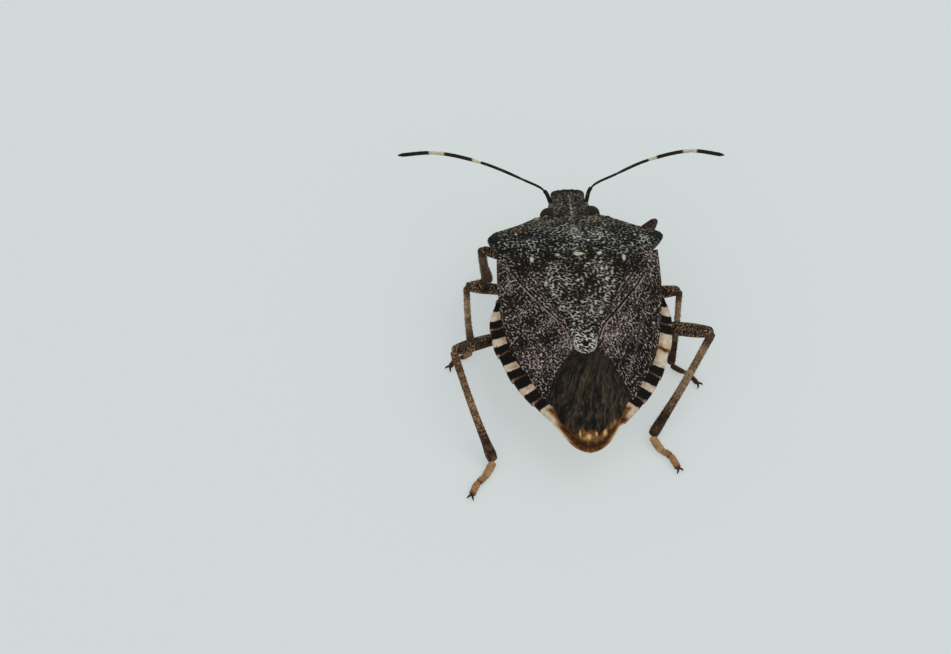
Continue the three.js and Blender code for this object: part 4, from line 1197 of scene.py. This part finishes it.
def makeFeeler(sideName, seed):
    joints = np.array(feelerPlan[sideName], float)
    path = curve(joints)
    fine = path(np.linspace(0, 1, 400))
    shares = [float(np.argmin(np.linalg.norm(fine - joint, axis=1))) / 399 for joint in joints]
    skins = []
    for number in range(5):
        low, high = shares[number], shares[number + 1]
        # Neighbours reach a little into each other
        points = path(np.linspace(low - feelerPlan["overlap"], high + feelerPlan["overlap"], 6))
        thick = feelerPlan["radii"][number]
        base = 0.78 if number else 1.0
        tip = 0.5 if number == 4 else 0.95
        radius = profile([(0, thick * base * 0.8), (0.08, thick * base), (0.35, thick), (0.85, thick),
                          (0.96, thick * tip), (1, thick * tip * 0.7)])

        def paint(t, angle, run, number=number):
            tone = cloud(t * 12, angle, 0.9, seed + number)
            pale = 0 * t
            if number == 3:
                pale = smooth(0.24, 0.19, t) + smooth(0.78, 0.83, t)
            if number == 4:
                pale = smooth(0.24, 0.18, t)
            if number < 3:
                pale = 0.25 * smooth(0.55, 0.8, tone)
            joint = smooth(0.03, 0.0, t) + smooth(0.97, 1.0, t)
            return 0.16 + 0.25 * (tone - 0.5) + 0.68 * pale - 0.5 * joint * pale, 0.12 * (1 - pale)

        if number > 2:
            skins.append((limbSkin(points, radius, roundSection, (0, 0, 1)), *feelerPlan["hairs"]))
        pieceName = f"feeler_{sideName}_{number + 1}"
        piece = rollLimb(pieceName, (20, 60, 0.06), points, radius, roundSection, paint)
        finishPiece(piece, feelerMaterial, "feeler", f"antenna_{sideName}_{number + 1}")
    hairLength = feelerPlan["hairLength"]
    addBristles(f"feeler_{sideName}_bristles", skins, hairLength, feelerMaterial, "feeler", seed + 15)


makeFeeler("left", 300)
makeFeeler("right", 320)
print("feelers done")


# Head: a blunt flat snout, two grooves beside its middle lobe, knobs that carry the feelers, and eyes
headPlan = {
    "columns": 220, "rows": 150, "tip": -5.14, "neck": -2.6, "arch": 0.27, "pitSpacing": 0.105,
    "bumps": [(0.06, 0.88, -3.55, 0.16, 0.34), (-0.03, 0.62, -3.6, 0.16, 0.4), (0.035, 0.6, -4.55, 0.2, 0.5)],
    "half": [(-5.14, 0.84), (-4.95, 0.845), (-4.6, 0.845), (-4.25, 0.86), (-3.95, 0.92), (-3.6, 1.06),
             (-3.3, 1.08), (-3.0, 1.0), (-2.6, 0.94)],
    "edge": [(-5.14, 2.66), (-4.6, 2.68), (-3.9, 2.74), (-3.3, 2.85), (-2.6, 2.9)],
    "darkSpots": [(0.58, -3.14, 0.2, 0.14), (0.0, -4.95, 0.8, 0.14), (-0.55, -3.18, 0.16, 0.1)],
    "paleSpots": [(0.54, -3.66, 0.12, 0.16), (-0.7, -3.82, 0.14, 0.14), (-0.1, -3.3, 0.14, 0.4),
                  (0.95, -3.5, 0.12, 0.2)],
    "under": [(-5.14, 2.5), (-4.9, 2.3), (-4.4, 2.06), (-3.9, 1.94), (-3.2, 1.9), (-2.6, 1.95)],
}


def makeHead():
    plan = headPlan
    halfWidth = profile(plan["half"])
    edgeHeight = profile(plan["edge"])
    underHeight = profile(plan["under"])

    def shape(u, v):
        y = plan["tip"] + (plan["neck"] - plan["tip"]) * v ** 1.3
        turn = 2 * np.pi * u
        sideways = np.cos(turn)
        isTop = np.sin(turn) >= 0
        reach = np.sign(sideways) * np.abs(sideways) ** 0.75
        half = halfWidth(y)
        x = half * reach
        # The snout's tip is straight with rounded corners and a small notch in the middle
        corner = 0.1 * np.abs(reach) ** 16 - 0.03 + 0.07 * bell(x, 0.16)
        tipShare = smooth(-4.5, -5.14, y)
        placeY = y + corner * tipShare
        groove = bell(np.abs(x) - 0.3 - 0.06 * smooth(-4.4, -5.0, y), 0.05) * smooth(-3.75, -4.1, y)
        lobe = 0.05 * bell(x, 0.26) * smooth(-3.7, -4.2, y)
        topZ = crest(placeY) - plan["arch"] * x * x + lobe - 0.06 * groove + bumps(x, y, plan["bumps"])
        edge = edgeHeight(y)
        rollOff = (1 - np.abs(reach) ** 7) ** 0.6
        upper = edge + (topZ - edge) * rollOff
        lowerZ = underHeight(y) + 0.45 * reach ** 2
        lower = edge + (lowerZ - edge) * (1 - np.abs(reach) ** 5) ** 0.6
        z = np.where(isTop, upper, lower)
        spacing = plan["pitSpacing"]
        distance = pits(x / spacing + 0.4 * cloud(x, y, 0.4, 400), y / (spacing * 0.9), 401)
        density = cloud(x, y, 0.7, 402)
        streakHalf = 0.032 + 0.03 * smooth(-4.1, -3.6, y)
        streak = bell(x, streakHalf) * smooth(0.1, 0.35, cloud(x, y, 0.2, 403)) * smooth(-4.95, -4.6, y)
        patch = blobs(x, y, plan["darkSpots"])
        edgeAt = 0.5 - 0.36 * (density - 0.5) + 0.25 * patch - 0.2 * blobs(x, y, plan["paleSpots"])
        edgeAt = edgeAt - 0.26 * (cloud(x, y, 0.1, 406) - 0.5)
        flake = smooth(edgeAt - 0.26, edgeAt + 0.26, distance)
        flake = flake * (0.26 + 0.38 * cloud(x, y, 0.2, 404)) * (1 - 0.4 * patch) + 0.24 * cloud(x, y, 0.13,
                                                                                                 405)
        flake = flake + 0.34 * streak - 0.08 * groove
        knobPale = 0.5 * blob(np.abs(x), y, 0.95, -4.2, 0.1, 0.16)
        cheek = 0.62 + 0.3 * (density - 0.5) - 0.36 * smooth(0.42, 0.24, distance)
        flake = np.where(isTop, flake + knobPale, cheek)
        dent = np.where(isTop, 0.024 * (1 - smooth(0.12, 0.5, distance)), 0) * rollOff
        z = z - dent
        # Front and neck close on a line inside the head
        blunt = roundEdge(v ** 1.3 * (plan["neck"] - plan["tip"]), 0.1)
        middle = (edge + underHeight(y) + 0.2) / 2
        z = middle + (z - middle) * blunt
        x = x * (0.97 + 0.03 * blunt)
        shut = smooth(0, 0.004, v) * smooth(1, 0.99, v)
        x = x * np.where(v > 0.5, shut, 1)
        z = np.where(v > 0.5, middle + (z - middle) * shut, z)
        warm = np.where(isTop, 0.1 + 0.4 * knobPale, 0.45)
        return np.stack([x, placeY, z], -1), painted(flake, warm)

    return rollSkin("head_capsule", plan["columns"], plan["rows"], shape)


def addBall(name, centre, size, segments, material, slotName, *nodes):
    # A sphere squeezed in edit mode, with its place baked into its mesh
    bpy.ops.object.select_all(action="DESELECT")
    place = toFrame(centre)
    bpy.ops.mesh.primitive_uv_sphere_add(segments=segments, ring_count=segments // 2, radius=0.001,
                                         location=place)
    ball = bpy.context.object
    ball.name = name
    bpy.ops.object.mode_set(mode="EDIT")
    bpy.ops.mesh.select_all(action="SELECT")
    bpy.ops.transform.resize(value=size)
    bpy.ops.object.mode_set(mode="OBJECT")
    bpy.ops.object.transform_apply(location=True, rotation=True, scale=True)
    bpy.ops.object.shade_smooth()
    addLayers(ball.data, painted(0.5, 0.0))
    return finishPiece(ball, material, slotName, *nodes)


def makeBeak():
    places = [(0, -4.78, 2.2), (0, -4.5, 1.86), (0, -4.0, 1.56), (0, -3.3, 1.32), (0, -2.4, 1.16),
              (0, -1.5, 1.06), (0, -0.4, 1.04), (0, 0.5, 1.02), (0, 1.2, 1.02), (0, 1.6, 1.02)]
    radius = profile([(0, 0.16), (0.08, 0.2), (0.24, 0.15), (0.27, 0.17), (0.5, 0.16), (0.52, 0.13),
                      (0.54, 0.15), (0.76, 0.12), (0.78, 0.14), (0.93, 0.09), (1, 0.04)])

    def paint(t, angle, run):
        joints = bell(t - 0.25, 0.01) + bell(t - 0.52, 0.01)
        joints = joints + bell(t - 0.77, 0.01)
        return 0.62 - 0.45 * joints - 0.4 * smooth(0.85, 0.98, t), 0.5

    return rollLimb("beak_sheath", (26, 130, 0.08), places, radius, roundSection, paint)


finishPiece(makeHead(), shieldMaterial, "shell", "head")
finishPiece(makeBeak(), limbMaterial, "limb", "beak")
# The left eye sits a trace further back than the right one
ballPlan = {
    "eye": [(1.05, -3.62, 2.9), (0.45, 0.42, 0.41), 48], "eyeShift": 0.03,
    "ocellus": [(0.58, -3.14, 3.62), (0.09, 0.08, 0.07), 20],
    "knob": [(0.86, -4.24, 2.7), (0.17, 0.25, 0.18), 28],
}
for sideName, side in (("left", 1), ("right", -1)):
    (x, y, z), size, segments = ballPlan["eye"]
    place = (side * x, y + ballPlan["eyeShift"] * side, z)
    addBall(f"eye_{sideName}_ball", place, size, segments, eyeMaterial, "eye", f"eye_{sideName}")
    (x, y, z), size, segments = ballPlan["ocellus"]
    addBall(f"ocellus_{sideName}", (side * x, y, z), size, segments, eyeMaterial, "eye")
    (x, y, z), size, segments = ballPlan["knob"]
    addBall(f"feeler_knob_{sideName}", (side * x, y, z), size, segments, limbMaterial, "shell")
print("head done")


# Camera at the photograph's viewing angle. Its target sits on a pixel of the 951 x 654 picture.
cameraPlan = {
    "elevation": 57.724, "turn": 11.506, "roll": 8.126, "distance": 230.0, "target": (0, 2.5, 3.0),
    "targetPixel": (579.86, 318.5), "pixelsPerMm": 20.427, "pictureSize": (951, 654), "sensor": 36.0,
    "nearest": 0.01, "farthest": 10,
}


def makeCamera():
    plan = cameraPlan
    elevation = math.radians(plan["elevation"])
    turn = math.radians(plan["turn"])
    roll = math.radians(plan["roll"])
    away = Vector((math.sin(turn) * math.cos(elevation), math.cos(turn) * math.cos(elevation),
                   math.sin(elevation)))
    level = (-away).cross(Vector((0, 0, 1))).normalized()
    upright = level.cross(-away)
    right = level * math.cos(roll) + upright * math.sin(roll)
    up = upright * math.cos(roll) - level * math.sin(roll)
    focal = plan["pixelsPerMm"] * plan["distance"]
    width, height = plan["pictureSize"]
    offX = width / 2 - plan["targetPixel"][0]
    offY = plan["targetPixel"][1] - height / 2
    look = (-away * focal + right * offX + up * offY).normalized()
    right = (right - look * right.dot(look)).normalized()
    up = right.cross(look)
    target = Vector(toFrame(plan["target"]))
    place = target + away * plan["distance"] / 1000
    data = bpy.data.cameras.new("photoCamera")
    data.sensor_width = plan["sensor"]
    data.lens = plan["sensor"] * focal / width
    data.clip_start = plan["nearest"]
    data.clip_end = plan["farthest"]
    camera = bpy.data.objects.new("photoCamera", data)
    turnMatrix = Matrix((right, up, -look)).transposed().to_4x4()
    camera.matrix_world = Matrix.Translation(place) @ turnMatrix
    bpy.context.collection.objects.link(camera)
    bpy.context.scene.camera = camera


makeCamera()


# Floor and light
stagePlan = {
    "floorSize": 1.2, "floorTone": (136, 142, 140), "floorRough": 0.9, "glowTone": (216, 222, 222),
    "floorGlow": 0.6, "worldTone": (236, 240, 242), "worldPower": 0.8,
    "lamps": [("keyLight", (-0.14, -0.06, 0.28), 0.3, 0.26), ("fillLight", (0.2, 0.16, 0.2), 0.3, 0.08)],
}


def makeStage():
    plan = stagePlan
    bpy.ops.object.select_all(action="DESELECT")
    bpy.ops.mesh.primitive_plane_add(size=plan["floorSize"])
    floor = bpy.context.object
    floor.name = "floor"
    material = bpy.data.materials.new("paleFloor")
    material.use_nodes = True
    shader = material.node_tree.nodes["Principled BSDF"]
    shader.inputs["Base Color"].default_value = srgb(*plan["floorTone"])
    shader.inputs["Roughness"].default_value = plan["floorRough"]
    shader.inputs["Emission Color"].default_value = srgb(*plan["glowTone"])
    shader.inputs["Emission Strength"].default_value = plan["floorGlow"]
    floor.data.materials.append(material)
    world = bpy.data.worlds.new("softSky")
    bpy.context.scene.world = world
    world.use_nodes = True
    sky = world.node_tree.nodes["Background"]
    sky.inputs["Color"].default_value = srgb(*plan["worldTone"])
    sky.inputs["Strength"].default_value = plan["worldPower"]
    for name, place, size, power in plan["lamps"]:
        light = bpy.data.lights.new(name, "AREA")
        light.size = size
        light.energy = power
        lamp = bpy.data.objects.new(name, light)
        lamp.location = place
        lamp.rotation_euler = (-Vector(place)).to_track_quat("-Z", "Y").to_euler()
        bpy.context.collection.objects.link(lamp)


makeStage()
bpy.context.scene.view_settings.view_transform = "Standard"
print("camera and stage done")
